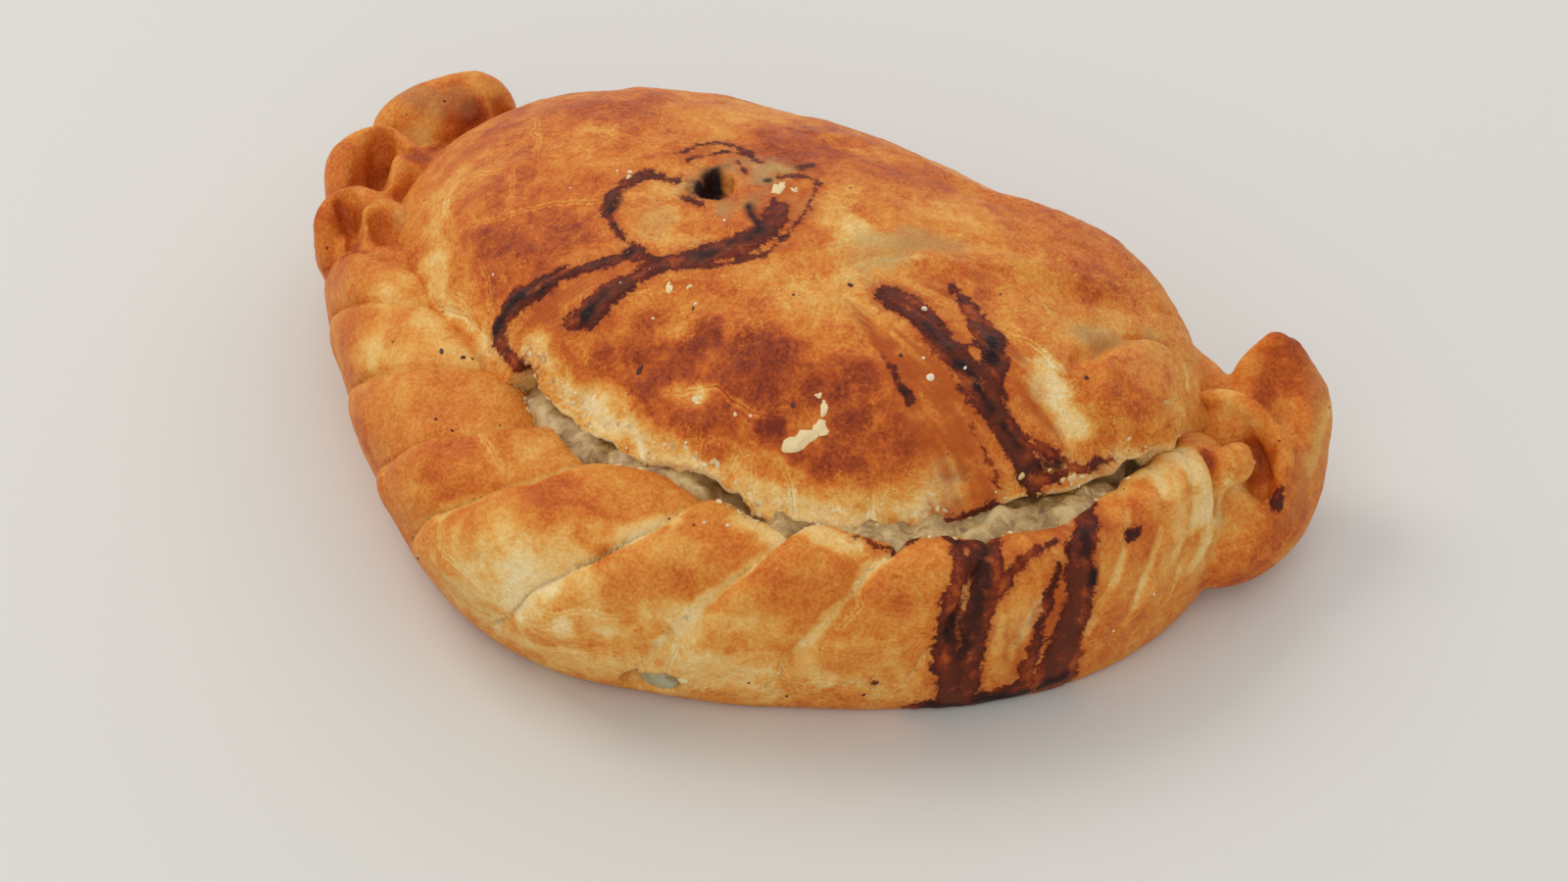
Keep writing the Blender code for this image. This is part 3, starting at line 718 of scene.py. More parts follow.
LID_JUICE = (  # stops, widths along the path
    (((162, 19), (166, 23.5), (176, 25.5), (187, 26), (198, 24.7), (213, 22), (230, 19.5)),
     (1.6, 2.8, 2.8, 2.0, 1.5, 1.3, 1.8)),
    (((96, 15), (85, 17), (76, 18), (62, 14.5), (50, 12), (32, 9.5), (8, 8)),
     (0.8, 1.1, 0.9, 0.8, 0.7)),
    (((67, 7.5), (40, 5), (345, 4), (284, 6.5), (262, 11), (249, 15.5), (240, 20)),
     (2.8, 4.4, 5.4, 5.2, 4.6, 3.6, 2.6)),
    (((20, 8), (330, 8.6), (295, 10), (268, 13), (252, 16), (244, 20)), (0.7, 1.2, 1.6, 1.8)),
    (((110, 19), (120, 24), (128, 27), (138, 27.5), (150, 26)), (0.5, 1.3, 1.2, 0.6)),
    (((118, 22), (126, 23.5), (136, 23.5), (146, 23)), (0.5, 0.8, 0.7, 0.4)),
    (((238, 18), (230, 20), (226, 24), (225, 28), (223, 33), (222, 37), (220, 41)),
     (1.8, 2.2, 2.4, 3.4, 4.6, 4.8)),
    (((244, 18), (241, 22), (240.5, 26), (241, 29), (240, 32), (238, 34.5)),
     (2.2, 3.0, 4.4, 5.6, 3.8)),
    (((220, 40), (222, 44), (226, 45), (231, 44.2), (236, 43.6), (239, 43)),
     (4.4, 3.8, 2.8, 2.2, 1.8)),
    (((173.4, 13.2), (170, 10)), (1.6, 1.8)), (((125, 20), (120, 15)), (1.2, 0.6)),
    (((60, 4), (78, 6), (85, 8)), (3.0, 2.0, 1.0)),
    (((357, 30.5), (356, 33), (354, 38), (352, 43), (351, 48), (349.5, 53)),
     (4.4, 6.2, 5.2, 4.6, 5.6, 6.2)),
    (((10, 39), (5, 43), (0, 48.5), (356, 52.5), (351.5, 54), (349.5, 55.5)),
     (1.6, 3.8, 5.2, 5.4, 5.0)),
    (((349.3, 53.5), (348, 59.5), (347.5, 65), (346.5, 68), (346, 70)),
     (6.2, 4.4, 5.2, 4.8, 2.6)),
    (((346.5, 61), (350, 66), (352.5, 71.5), (355, 74)), (1.2, 2.4, 2.2, 0.8)),
    (((343.5, 57), (342.8, 61), (342, 66)), (0.5, 1.2, 0.8)),
    (((337.5, 39), (336, 45), (335.6, 48.5)), (0.4, 1.2, 1.6)),
    (((318, 60.3), (325, 62.5), (333, 65), (341, 67.3)), (0.8, 1.8, 2.2, 1.4)),
    (((346, 68.5), (350, 70.6), (354, 72.6), (358, 75.2)), (2.4, 1.8, 1.4, 0.8)),
)
LID_CHAR = (
    (((142, 15), (150, 12)), 3.8, 1.6), (((142, 15), (150, 12)), 3.0, 1.4),
    (((121, 5), (11, 2.4), (300, 4), (270, 7)), 2.0, 1.1),
    (((266, 9), (257, 12)), 1.6, 0.8), (((241, 28.5), (239.7, 32)), 2.2, 1.2),
    (((223.5, 35.5), (219.5, 41.5), (222.5, 45.2)), 1.6, 1.0), (((196, 24.2), (186, 23.8)), 1.3, 0.9),
    (((206, 23),), 1.0, 1.0), (((225, 21.5),), 1.4, 1.0), (((353, 40), (351.5, 45)), 1.5, 0.8),
    (((350.5, 49), (349.5, 53), (348.5, 57)), 1.9, 1.1), (((359, 50), (355, 53)), 1.8, 1.1),
    (((348, 60), (347.5, 64)), 1.3, 0.9), (((346.5, 67), (351, 70.5)), 1.6, 0.9),
    (((335.8, 47),), 1.0, 0.9), (((90, 20), (88, 22)), 1.0, 0.9), (((102, 13),), 0.8, 0.9),
)
lid = new_piece("lid", grid_mesh("lid", lid_rows()))
lid.data.shade_smooth()
baked = Sheet(lid.data)
angle, radius = hub_place(baked.place)
gape = at_angle(CREVICE, angle)
to_lip = at_angle(LIP_REACH, angle) - radius
upper = smooth_step(8.0, 22.0, baked.place[:, 2]) * (baked.normal[:, 2] > 0.05)
ragged = smooth_step(11.0, 3.0, to_lip + 3 * baked.cloud) * smooth_step(0.0, 1.0, gape)
baked.push += upper * (0.55 * layered(baked.place, 22.0, 73, 2)
                       + 0.10 * layered(baked.place, 3.5, 79, 3))
baked.push += upper * (0.08 + 0.34 * ragged) * flakes(baked.place, 7.0, 83)
baked.mark["brown"] += (0.14 - 0.13 * smooth_step(-10, 50, baked.place[:, 0])
                        + 0.22 * baked.push)
baked.mark["flaky"] += np.maximum(ragged, 0.75)
torn = smooth_step(0.3, -0.1, baked.normal[:, 2]) * smooth_step(0.0, 1.0, gape)
baked.mark["cream"] += torn * (baked.place[:, 2] > 12)
baked.bake(LID_CRACKS, LID_FOLDS, LID_PITS, LID_JUICE, brown=LID_BROWN_AND_SHADE, cream=LID_CREAM,
           grey=LID_GREY, amber=LID_AMBER, char=LID_CHAR)
lid.data.materials.append(dough)
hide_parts("crust")
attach(lid, "root")


# ---- Crimp -----------------------------------------------------------------------------
# The two sheets of dough rolled over each other along the curved side. The baker's thumb
# leaves a pleat at each turn. The roll starts in a standing tab and ends in a twisted horn.

CREST = 34.0
CRIMP_BELLY = 14.0
CRIMP_RISE = CREST - CRIMP_BELLY - 1.5
CRIMP_TUCK = 8.0  # how far the roll reaches in under the lid
SQUARENESS = 0.85  # of the roll's section: 1 is an ellipse, less is squarer
DOUGH_CELL, CRIMP_CELL = 0.6, 0.68  # between the skin's points, before and after the hollows
CRIMP_START, CRIMP_END = 158.0, 379.0
SEAM_TURN = 135.0  # turn round the roll's section at which it meets the lid
CREASES = (  # each one's angle at the rim and at the seam, and the rise of the pleat past it
    (168, 172, 0.0), (187, 200, 1.3), (196, 210, 1.5), (210, 231, 2.0), (228, 254, 2.6),
    (242, 273, 3.0), (264, 300, 3.0), (286, 320, 2.8), (306, 334, 2.0), (324, 343, 0.8),
    (336, 354, 0.5), (344, 362, 0.4), (350, 368, 0.4), (356, 374, 0.4), (364, 382, 0.2),
)
ROLLS = {  # spine, half thickness and half breadth along it, and which way is thick
    "tab": (
        ((-94, 24, 14), (-90.5, 34, 19), (-85, 43, 20), (-79, 49, 14)),
        (9, 13, 13, 9), (6, 7, 7, 6), (-0.25, 0.15, 1.0)),
    "pocket_above": (
        ((-77, 14, 18), (-89, 19, 18), (-96, 22, 13)),
        (8, 10, 9), (7, 9, 7)),
    "arch_above": (
        ((-86, 2, 22), (-93, 9, 24), (-95.5, 16, 26), (-93.5, 21.5, 28),
         (-88, 23, 29.5), (-80, 19.5, 29)),
        (5, 5.5, 5, 4, 3, 2.5), (3, 3.5, 3.5, 3, 2.6, 2.5)),
    "curl_above": (
        ((-78, 4, 29), (-81.6, 9, 29.5), (-81.6, 14, 29.5), (-77, 17, 28.5), (-72, 16, 28)),
        (4, 5, 5, 4, 3), (3, 3.6, 3.6, 3, 2.5)),
    "pocket_below": (
        ((-71, 0, 19), (-83.5, 4, 18), (-93, 8, 12)),
        (8, 10, 9), (8, 9, 8)),
    "arch_below": (
        ((-84, -6, 17), (-88, -2.5, 22), (-88, 1, 27), (-84, 3.4, 30), (-79, 2.6, 31.5),
         (-74, 1.5, 31.5)),
        (5, 5, 4.5, 3.5, 2.6, 2.2), (3, 3, 3, 2.6, 2.4, 2)),
    "curl_below": (
        ((-73, -10, 30), (-77.5, -5.5, 31), (-77.5, -1.5, 32), (-73, 0.6, 32.3),
         (-69, -1.5, 32)),
        (3, 3.4, 3, 2.6, 2), (2, 2.3, 2.3, 2, 2)),
    "horn": (
        ((84, 10, 8), (92.5, 20, 9), (94.5, 33, 11), (92.5, 43, 16), (88, 49, 24),
         (85, 50, 34)),
        (8, 9, 9, 9, 8, 5), (7, 6, 6, 6, 6, 4)),
    "flap": (
        ((74, 28, 16), (81, 37, 18), (84.5, 43.5, 23), (83.4, 48.5, 36)),
        (8, 9, 6, 3), (10, 10, 7.5, 6.0)),
    "gusset": (
        ((54, 46.5, 24), (66, 43.5, 21.5), (75, 40, 20.5), (82, 38, 19)),
        (9, 7.5, 7, 6), (9, 7, 6, 5)),
    "pillow": (
        ((78, 12, 12), (86, 22, 12.5), (90, 31, 12)),
        (8, 9, 8), (7, 8, 7)),
    "crest": (
        ((74, 33, 27.5), (81, 36, 28), (88, 35, 27.5), (92.5, 33, 25), (95.3, 29.5, 21.5),
         (95.8, 26, 17)),
        (2, 2.6, 2.8, 2.8, 2.6, 2), (2, 2.4, 2.6, 2.6, 2.6, 2)),
    "bean": (
        ((85, 16, 25.5), (88.5, 21.5, 26), (88.5, 27.5, 25)),
        (3.5, 4, 3.5), (3, 3.8, 3)),
}
HORN_TOP = 35.8  # no roll stands higher
# Hollows pressed into the rolls: stops as x, y, z, then radius and depth.
HOLLOWS = (
    (((-90, 20, 29), (-88, 16, 29), (-85, 11.5, 29), (-82.5, 7.5, 29)), 3.4, 5.5),
    (((-86, 1.0, 29), (-82.5, -0.6, 30), (-80, -4.5, 30), (-77, -8, 30)), 2.3, 4.0),
    (((-74.5, -3, 32), (-71, -5.5, 32)), 3.4, 2.6),
    (((-76, 7, 31), (-75.5, 11, 31)), 2.6, 2.0),
    (((-79.3, 44.5, 27), (-78.5, 46, 27)), 1.5, 6.0),
    (((87.5, 31.5, 22), (90.5, 30, 21), (92, 26.5, 20)), 2.4, 2.6),
)


def rounded(wave, power):
    """A sine or cosine pushed towards a squarer section."""
    return np.sign(wave) * np.abs(wave) ** power


def crimp_edges(angle):
    """Inner and outer reach of the whole roll, with what is tucked in under the lid."""
    return reach(SEAM_REACH, angle) - CRIMP_TUCK, reach(RIM_REACH, angle) - 1.0


def shoulder(angle):
    """How far the roll's inner side stands from the hub, back from the crevice."""
    gape = at_angle(CREVICE, angle)
    lip = at_angle(LIP_REACH, angle)
    tucked = reach(SEAM_REACH, angle) - CRIMP_TUCK
    return tucked + (lip + gape - 0.6 - tucked) * smooth_step(0.0, 1.5, gape)


def crimp_form(longitude, latitude):
    """The plain roll along the curved side, without its pleats."""
    along = latitude / math.pi + 0.5
    angle = CRIMP_START + (CRIMP_END - CRIMP_START) * along
    outer = crimp_edges(angle)[1]
    inner = shoulder(angle)
    end = np.sqrt(np.clip(1.0 - np.abs(2 * along - 1) ** 14, 0.0, 1.0))
    gape = at_angle(CREVICE, angle)
    burst = smooth_step(0.0, 1.5, gape)
    square = SQUARENESS - 0.5 * burst * (np.cos(longitude) < 0)
    side = rounded(np.cos(longitude), square)
    lift = rounded(np.sin(longitude), square)
    radius = (inner + outer) / 2 + (outer - inner) / 2 * end * side
    z = CRIMP_BELLY + np.where(lift > 0, CRIMP_RISE, 16.0) * end * lift
    return from_hub(radius, angle, np.maximum(z, 0.0))


def roll_form(longitude, latitude, spine, thickness, breadth, up=(0.0, 0.0, 1.0)):
    """A tapered roll of dough: a section, thick by broad, carried along a spine."""
    along = latitude / math.pi + 0.5
    stations = np.linspace(0, 1, len(spine))
    fine = np.linspace(0, 1, 61)
    path = np.stack([np.interp(fine, stations, axis) for axis in np.transpose(spine)], -1)
    for _ in range(60):
        path[1:-1] = (path[:-2] + 2 * path[1:-1] + path[2:]) / 4
    tangent = np.gradient(path, axis=0)
    tangent /= np.linalg.norm(tangent, axis=1, keepdims=True)
    wide = np.cross(tangent, np.array(up))
    wide /= np.linalg.norm(wide, axis=1, keepdims=True)
    thick = np.cross(wide, tangent)

    def at(values):
        return np.stack([np.interp(along, fine, axis) for axis in values.T], -1)

    end = np.sqrt(np.clip(1 - np.abs(2 * along - 1) ** 3, 0, 1))
    broad = end * np.interp(along, stations, breadth) * np.cos(longitude)
    deep = end * np.interp(along, stations, thickness) * np.sin(longitude)
    place = at(path) + at(wide) * broad[..., None] + at(thick) * deep[..., None]
    place[..., 2] = np.clip(place[..., 2], 0.0, HORN_TOP)
    return place


def shaped_ball(name, form, around, rings, *settings):
    """A UV sphere pushed through a form that maps longitude and latitude to a place."""
    mesh = bmesh.new()
    bmesh.ops.create_uvsphere(mesh, u_segments=around, v_segments=rings, radius=1.0)
    ball = np.array([vertex.co for vertex in mesh.verts])
    longitude = np.arctan2(ball[:, 1], ball[:, 0])
    latitude = np.arcsin(np.clip(ball[:, 2], -1, 1))
    for vertex, place in zip(mesh.verts, form(longitude, latitude, *settings) * MM):
        vertex.co = place
    bmesh.ops.recalc_face_normals(mesh, faces=mesh.faces)
    return mesh_of(name, mesh)


def merged(name, meshes):
    """One mesh that holds all of the given meshes."""
    whole = bmesh.new()
    for data in meshes:
        whole.from_mesh(data)
    return mesh_of(name, whole)


def applied(thing):
    """The object's mesh as its modifiers leave it."""
    depsgraph = bpy.context.evaluated_depsgraph_get()
    return bpy.data.meshes.new_from_object(thing.evaluated_get(depsgraph))


def one_skin(name, data, voxel, rounds):
    """Overlapping closed shapes, run into one skin of even faces and softened."""
    rough = new_piece("rough", data)
    remesh = rough.modifiers.new("one_skin", "REMESH")
    remesh.mode = "VOXEL"
    remesh.voxel_size = voxel * MM
    smooth = rough.modifiers.new("soften", "SMOOTH")
    smooth.factor = 0.5
    smooth.iterations = rounds
    result = applied(rough)
    result.name = name
    bpy.data.objects.remove(rough)
    return result


def crimp_place(place):
    """Each point's angle round the hub and its turn round the roll's section, in degrees."""
    angle, radius = hub_place(place)
    inner, outer = crimp_edges(angle)
    side = (radius - (inner + outer) / 2) / ((outer - inner) / 2)
    lift = (place[:, 2] - CRIMP_BELLY) / CRIMP_RISE
    turn = np.degrees(np.arctan2(rounded(lift, 1 / SQUARENESS), rounded(side, 1 / SQUARENESS)))
    return angle, turn


def pleat_fields(place):
    """For each point: its share across its pleat, the pleat's rise, and the mm to a crease."""
    angle, turn = crimp_place(place)
    across = np.clip((SEAM_TURN - turn) / SEAM_TURN, 0, 1.5)
    radius = np.hypot(place[:, 0] - HUB[0], place[:, 1] - HUB[1])
    part = np.zeros(len(place))
    rise = np.zeros(len(place))
    gap = np.full(len(place), 9.0)
    wander = 0.7 * layered(place, 9.0, 31, 3)
    for here, after in zip(CREASES[:-1], CREASES[1:]):
        left = here[1] + (here[0] - here[1]) * across + wander
        right = after[1] + (after[0] - after[1]) * across + wander
        share = (angle - left) / (right - left)
        inside = (share >= 0) & (share < 1)
        width = np.radians(right - left) * radius * 0.8
        part = np.where(inside, share, part)
        rise = np.where(inside, here[2], rise)
        flush = 0.35 * (here[2] < 1.0)
        gap = np.where(inside, np.minimum(share, 1 - share) * width + flush, gap)
    fade = smooth_step(5.0, 19.0, place[:, 2]) * (turn > -60) * smooth_step(165, 100, turn)
    return part, rise * fade, np.where(fade > 0.02, gap / np.maximum(fade, 0.3), 9.0)


def new_tree(name, inputs):
    """A geometry tree with a mesh input and output and the named inputs, all numbers."""
    tree = bpy.data.node_groups.new(name, "GeometryNodeTree")
    tree.interface.new_socket("Mesh", in_out="OUTPUT", socket_type="NodeSocketGeometry")
    tree.interface.new_socket("Mesh", in_out="INPUT", socket_type="NodeSocketGeometry")
    for label in inputs:
        tree.interface.new_socket(label, in_out="INPUT", socket_type="NodeSocketFloat")
    tree.interface.new_socket("Finish", in_out="INPUT", socket_type="NodeSocketMaterial")
    return tree, add_node(tree, "NodeGroupInput")


def close_tree(tree, given, mesh):
    """Ends a tree: instances made real, shaded smooth, and its finish set."""
    real = add_node(tree, "GeometryNodeRealizeInstances", {0: mesh})
    smooth = add_node(tree, "GeometryNodeSetShadeSmooth", {0: real})
    done = add_node(tree, "GeometryNodeSetMaterial",
                    {"Geometry": smooth, "Material": given.outputs["Finish"]})
    add_node(tree, "NodeGroupOutput", {0: done})


def grown(thing, tree, values):
    """The mesh that a tree makes of an object, with the tree's inputs set."""
    modifier = thing.modifiers.new(tree.name, "NODES")
    modifier.node_group = tree
    for item in tree.interface.items_tree:
        if item.in_out == "INPUT" and item.name in values:
            modifier[item.identifier] = values[item.name]
    data = applied(thing)
    thing.modifiers.remove(modifier)
    return data


def pressed(place, stops, radius, depth):
    """Points with a round-bottomed hollow pushed down into them along a path."""
    stops = np.array(stops, float)
    fine = np.concatenate([stops[:-1] + share * np.diff(stops, axis=0)
                           for share in np.linspace(0, 1, 9)])
    gap = np.linalg.norm(place[:, None, :2] - fine[:, :2], axis=-1)
    near = gap.argmin(axis=1)
    gap = gap[np.arange(len(place)), near]
    above = smooth_step(-1.2 * depth, -0.4 * depth, place[:, 2] - fine[near, 2])
    down = depth * smooth_step(1.0, 0.25, gap / radius) * above
    return place - np.stack([0 * down, 0 * down, down], axis=-1)


# Pleats: past each crease the dough rises steeply to a crest and then falls away slowly.
PLEAT_SHAPE = ((0.0, 0.0), (0.07, 0.55), (0.16, 0.86), (0.28, 1.0), (0.55, 0.80), (1.0, 0.0))
pleats, given = new_tree("rope_pleats", ("Crease Depth", "Crease Width"))
part, rise, gap = (add_node(pleats, "GeometryNodeInputNamedAttribute", {"Name": name})
                   for name in ("pleat_part", "pleat_rise", "crease_gap"))
shape = add_node(pleats, "ShaderNodeFloatCurve", {"Value": part})
line = shape.mapping.curves[0]
line.points[0].location = PLEAT_SHAPE[0]
line.points[1].location = PLEAT_SHAPE[-1]
for spot in PLEAT_SHAPE[1:-1]:
    line.points.new(*spot)
shape.mapping.update()
height = add_node(pleats, "ShaderNodeMath", {0: shape, 1: rise}, operation="MULTIPLY")
fold = add_node(pleats, "ShaderNodeMapRange", {
    "Value": gap, "From Max": given.outputs["Crease Width"],
    "To Min": given.outputs["Crease Depth"], "To Max": 0.0}, interpolation_type="SMOOTHSTEP")
total = add_node(pleats, "ShaderNodeMath", {0: height, 1: fold}, operation="SUBTRACT")
push = add_node(pleats, "ShaderNodeVectorMath", {
    0: add_node(pleats, "GeometryNodeInputNormal"), "Scale": total}, operation="SCALE")
moved = add_node(pleats, "GeometryNodeSetPosition", {
    "Geometry": given.outputs["Mesh"], "Offset": push})
close_tree(pleats, given, moved)
crimp_parts = [shaped_ball("roll", crimp_form, 64, 400)]
crimp_parts += [shaped_ball(name, roll_form, 40, 60, *shape) for name, shape in ROLLS.items()]
rough = one_skin("rough_crimp", merged("dough", crimp_parts), DOUGH_CELL, 2)
place = points_of(rough)
for stops, width, depth in HOLLOWS:
    close = np.nonzero(np.linalg.norm(place - np.mean(stops, axis=0), axis=1) < 22)[0]
    place[close] = pressed(place[close], stops, width, depth)
set_points(rough, place)
crimp = new_piece("crimp", one_skin("crimp", rough, CRIMP_CELL, 2))
part, rise, gap = pleat_fields(points_of(crimp.data))
keep_field(crimp.data, "pleat_part", part)
keep_field(crimp.data, "pleat_rise", rise * MM)
keep_field(crimp.data, "crease_gap", gap * MM)
crimp.data = grown(crimp, pleats, {"Crease Depth": 0.7 * MM, "Crease Width": 0.9 * MM,
                                   "Finish": dough})

# What baking did to the crimp. Stops are angle, reach and height.
CRIMP_CRACKS = (
    (((230, 67.5, 24), (235, 69, 20), (238, 70, 16), (241, 70, 11)), 0.5, 0.9, 0.4),
    (((276, 67, 26), (281, 62.5, 30), (285, 58, 32), (289, 54, 33)), 0.8, 1.2, 0.6),
    (((325, 66, 32), (321, 69, 30), (316, 70, 25), (311, 70, 19)), 0.3, 0.6, 0.2),
    (((290.6, 69.6, 19), (289.8, 70, 14), (288.8, 69, 8)), 0.5, 0.9, 0.5),
    (((275, 71, 20), (270, 71, 17), (265, 71, 15), (258, 71, 13)), 0.25, 0.2, 0.2),
    (((283, 71, 16), (276, 71, 13), (268, 71, 12)), 0.25, 0.2, 0.2),
    (((300, 70, 12), (308, 71, 9), (316, 72, 9)), 0.25, 0.2, 0.2),
    (((249.7, 67.4, 25.7), (254, 70, 22), (262, 71, 20)), 0.3, 0.3, 0.2),
    (((284, 68.5, 23), (277, 69, 22), (270, 70, 19)), 0.3, 0.4, 0.2),
    (((262, 70, 20), (268, 70, 17), (275, 70, 16)), 0.3, 0.4, 0.2),
    (((240, 57, 31), (247, 57, 31.5), (256, 58, 31.5)), 0.3, 0.5, 0.3),
)
CRIMP_BROWN_AND_SHADE = (
    (((268, 58, 32), (276, 62, 30)), 8, 0.22), (((262, 62, 30), (256, 66, 27)), 8, 0.16),
    (((290, 58, 32), (297, 60, 31)), 7.0, 0.16), (((289, 65, 27),), 6, 0.08),
    (((306, 66, 29), (312, 67, 28)), 7.5, 0.20), (((322, 71, 27),), 5, 0.2),
    (((290, 65.7, 31.6), (292, 66.5, 29)), 3, 0.25), (((249, 62, 30), (246, 65, 27)), 7.5, 0.28),
    (((230, 59, 31), (238, 57, 32)), 7, 0.18),
    (((166, 88, 32), (158, 92, 33)), 7, 0.25), (((175, 92, 26), (184, 87, 27)), 7, 0.25),
    (((386, 98, 33), (382, 97, 28)), 8, 0.46), (((388, 102, 30), (374, 103, 16)), 8, 0.15),
    (((368.5, 99, 13), (364, 96, 8)), 8, 0.35), (((373, 102, 14), (369, 101, 9)), 5, 0.3),
    (((378, 96, 22), (374, 99, 18)), 5, 0.3),
    (((194, 76, 27), (192, 80, 20)), 8, 0.2),
    (((205, 70, 28), (206, 73, 22)), 7, 0.2), (((222, 69, 18),), 7, 0.2),
    (((352, 84, 27),), 5, 0.2), (((345, 84, 12), (352, 87, 10)), 8, 0.2),
    (((235, 69, 12), (225, 69, 12)), 8, 0.25), (((362, 91, 10), (368, 95, 8)), 8, 0.3),
    # Painted shade: the next row darkens the groove where the tab meets the lid, and the last row of the
    # line after it darkens the furrow beside the bean on the horn.
    (((172, 79, 31), (165, 83, 28), (161, 87, 25), (156, 88, 26)), 3.0, 0.8),
    (((356, 85, 24), (354, 83, 30)), 4, 0.3), (((369, 87, 30), (368, 88, 27), (365, 90, 21)), 1.1, 0.7),
)
CRIMP_CREAM = (
    (((262, 67, 26), (275, 68, 24)), 8.0, 0.8), (((258, 70, 20), (270, 70, 18)), 9, 0.6),
    (((262, 72, 10), (285, 71, 11), (305, 71, 11)), 10, 0.6), (((292, 69, 19),), 8, 0.6),
    (((280, 61, 31), (288, 55, 33)), 3.4, 1.0), (((318, 74, 10),), 8, 0.45),
    (((366, 84, 31), (365, 86, 25), (362, 88, 18)), 5.0, 0.9), (((362, 82, 32),), 5, 0.8),
    (((380, 88, 28), (374, 93, 26)), 3.0, 0.5), (((366, 96, 14), (362, 93, 13)), 7, 0.4),
    (((215.6, 63.6, 30.6), (213, 66, 27)), 6, 0.6), (((163.7, 90.3, 26),), 5, 0.9),
    (((358, 88.2, 29), (357, 89.7, 22)), 5, 0.6), (((268, 70.4, 22.7), (264, 71, 18)), 6, 0.5),
    (((278, 70.4, 27.5), (281, 70.4, 22)), 5, 0.5), (((300, 69.6, 27), (303, 70, 22)), 5, 0.3),
    (((392, 105, 27), (377, 103, 20)), 3, 0.5), (((186, 73, 33),), 5, 0.2),
    (((372, 92, 22), (372, 93, 16)), 6, 0.5),
    (((336, 78, 22), (334, 80, 14)), 4.5, 0.3), (((255, 52, 33),), 4, 0.3),
    (((300, 56, 32), (308, 59, 32), (316, 63, 32)), 3.5, 0.8), (((355, 79, 31),), 4, 0.5),
    (((205, 60, 33), (215, 55, 34), (224, 51, 34)), 3.5, 0.45), (((203, 65, 32.6),), 5, 0.5),
    (((288, 63.6, 34), (291, 64, 32)), 3, 0.3),
)
CRIMP_GREY = (
    (((163, 92, 33), (158, 90, 30)), 5, 0.5), (((187, 71, 33),), 4, 0.4),
    (((255, 71, 14), (262, 71, 12)), 6, 0.2), (((366, 91, 20),), 3, 0.5),
    (((388, 103, 30), (378, 104, 22), (372, 104, 16)), 4, 0.35),
)
CRIMP_AMBER = (
    (((336, 81, 17), (336, 81, 8)), 4.5, 0.9),
    (((334, 72, 31), (332, 77, 26), (329, 78, 16), (329, 77, 6)), 5.0, 1.0),
    (((347, 79, 31), (342.5, 82, 27), (341, 83, 18), (340, 83, 6)), 6.0, 1.2),
    (((338, 74, 32), (346, 77, 31)), 4, 1.0), (((326, 68, 31),), 3, 0.8),
    (((160, 88, 27), (156, 87, 27), (153, 88, 27), (164, 85, 28)), 3.5, 0.8),
    (((377, 93, 24), (375, 94.5, 21), (373, 96, 20)), 3.6, 1.1), (((340, 78, 31),), 3.4, 0.9),
)
CRIMP_JUICE = (
    (((322, 65.4, 32.6), (326, 66, 33), (329.3, 66, 33), (331.2, 70, 33.5), (330.2, 74.5, 32.5),
      (328.4, 76.1, 29.3), (327.3, 76.4, 23.5), (327, 76.5, 17), (327.6, 76.8, 10), (328, 76.7, 2)),
     (0.6, 2.0, 3.0, 3.8, 3.6, 4.0, 4.4, 5.0)),
    (((342, 79, 32.4), (337.6, 78.6, 32), (334.5, 78.7, 29.7), (332.4, 78.7, 26), (331, 79, 20.9),
      (330, 78.6, 15), (329.8, 78, 6.5), (329.5, 77, 1)), (1.0, 2.2, 3.6, 4.4, 4.4, 4.4, 4.8, 5.0)),
    (((334.4, 72, 32.6), (333, 76.4, 30.6), (331.4, 78, 26), (329.6, 78, 21)), (5.5, 6.5, 5, 4)),
    (((352.5, 75.5, 33), (348.5, 78, 33), (346, 81, 32), (344.2, 82.6, 30), (343.8, 84, 26),
      (342.6, 84.6, 21), (342, 84.7, 16), (341.4, 84, 10), (340.4, 83, 2)),
     (2.0, 3.2, 4.4, 5.0, 6.0, 6.5, 8.5, 9.5)),
    (((341.6, 81, 29.5), (339.8, 81.8, 25), (338.6, 82, 19), (338, 81.6, 12), (337, 80.8, 5)),
     (0.8, 1.6, 2.2, 3.0, 4.0)),
    (((318, 62, 33), (322, 66, 32), (327, 67, 32)), (0.8, 1.6, 2.4)),
    (((323, 76, 0.5), (329, 79, 1), (335, 82, 1.5), (341, 84, 2.5)), (3, 4.5, 6, 7)),
    (((351, 85.5, 30), (352, 85, 29)), (1.2, 1.8)), (((340, 78.8, 32.4),), (1.2, 1.2)),
    (((319, 69, 10), (319.5, 69, 9.4)), (1.0, 1.0)), (((372.1, 99.2, 18.5), (371.6, 99.4, 16)), (2.8, 3.0)),
)
CRIMP_CHAR = (
    (((334, 73, 32.6), (332.4, 77, 29.7), (331, 78.6, 25), (329.6, 78.4, 21), (329, 78.4, 16)), 1.9, 0.75),
    (((327.6, 76.4, 24), (327.2, 76.5, 19)), 1.1, 0.9), (((331.2, 70, 33.5),), 1.6, 0.9),
    (((346, 81, 32), (344.6, 82.6, 29)), 1.3, 0.8), (((345, 84.4, 27), (344.6, 84.6, 25)), 1.0, 1.0),
    (((325, 77, 0.5), (331, 80, 0.8), (337, 83, 1.4), (342, 84.4, 3)), 2.2, 1.1),
    (((351, 85.5, 30), (352, 85, 29)), 0.9, 0.8), (((371.8, 99.4, 17.5),), 1.6, 0.6),
)
CRIMP_FOLDS = (
    (((385, 93, 34), (382, 96, 29), (379, 98.5, 26)), 4.0, -2.6),
    (((369, 87, 31), (368, 88, 27), (364.5, 90, 21)), 0.9, -1.8),
)
CRIMP_PITS = ((((284, 69, 5.5), (288, 69, 6.5)), 2.8, 3.4),)  # where the onion shows
rolled = Sheet(crimp.data)
angle, turn = crimp_place(rolled.place)
part, rise, gap = pleat_fields(rolled.place)
up = smooth_step(2.0, 14.0, rolled.place[:, 2])
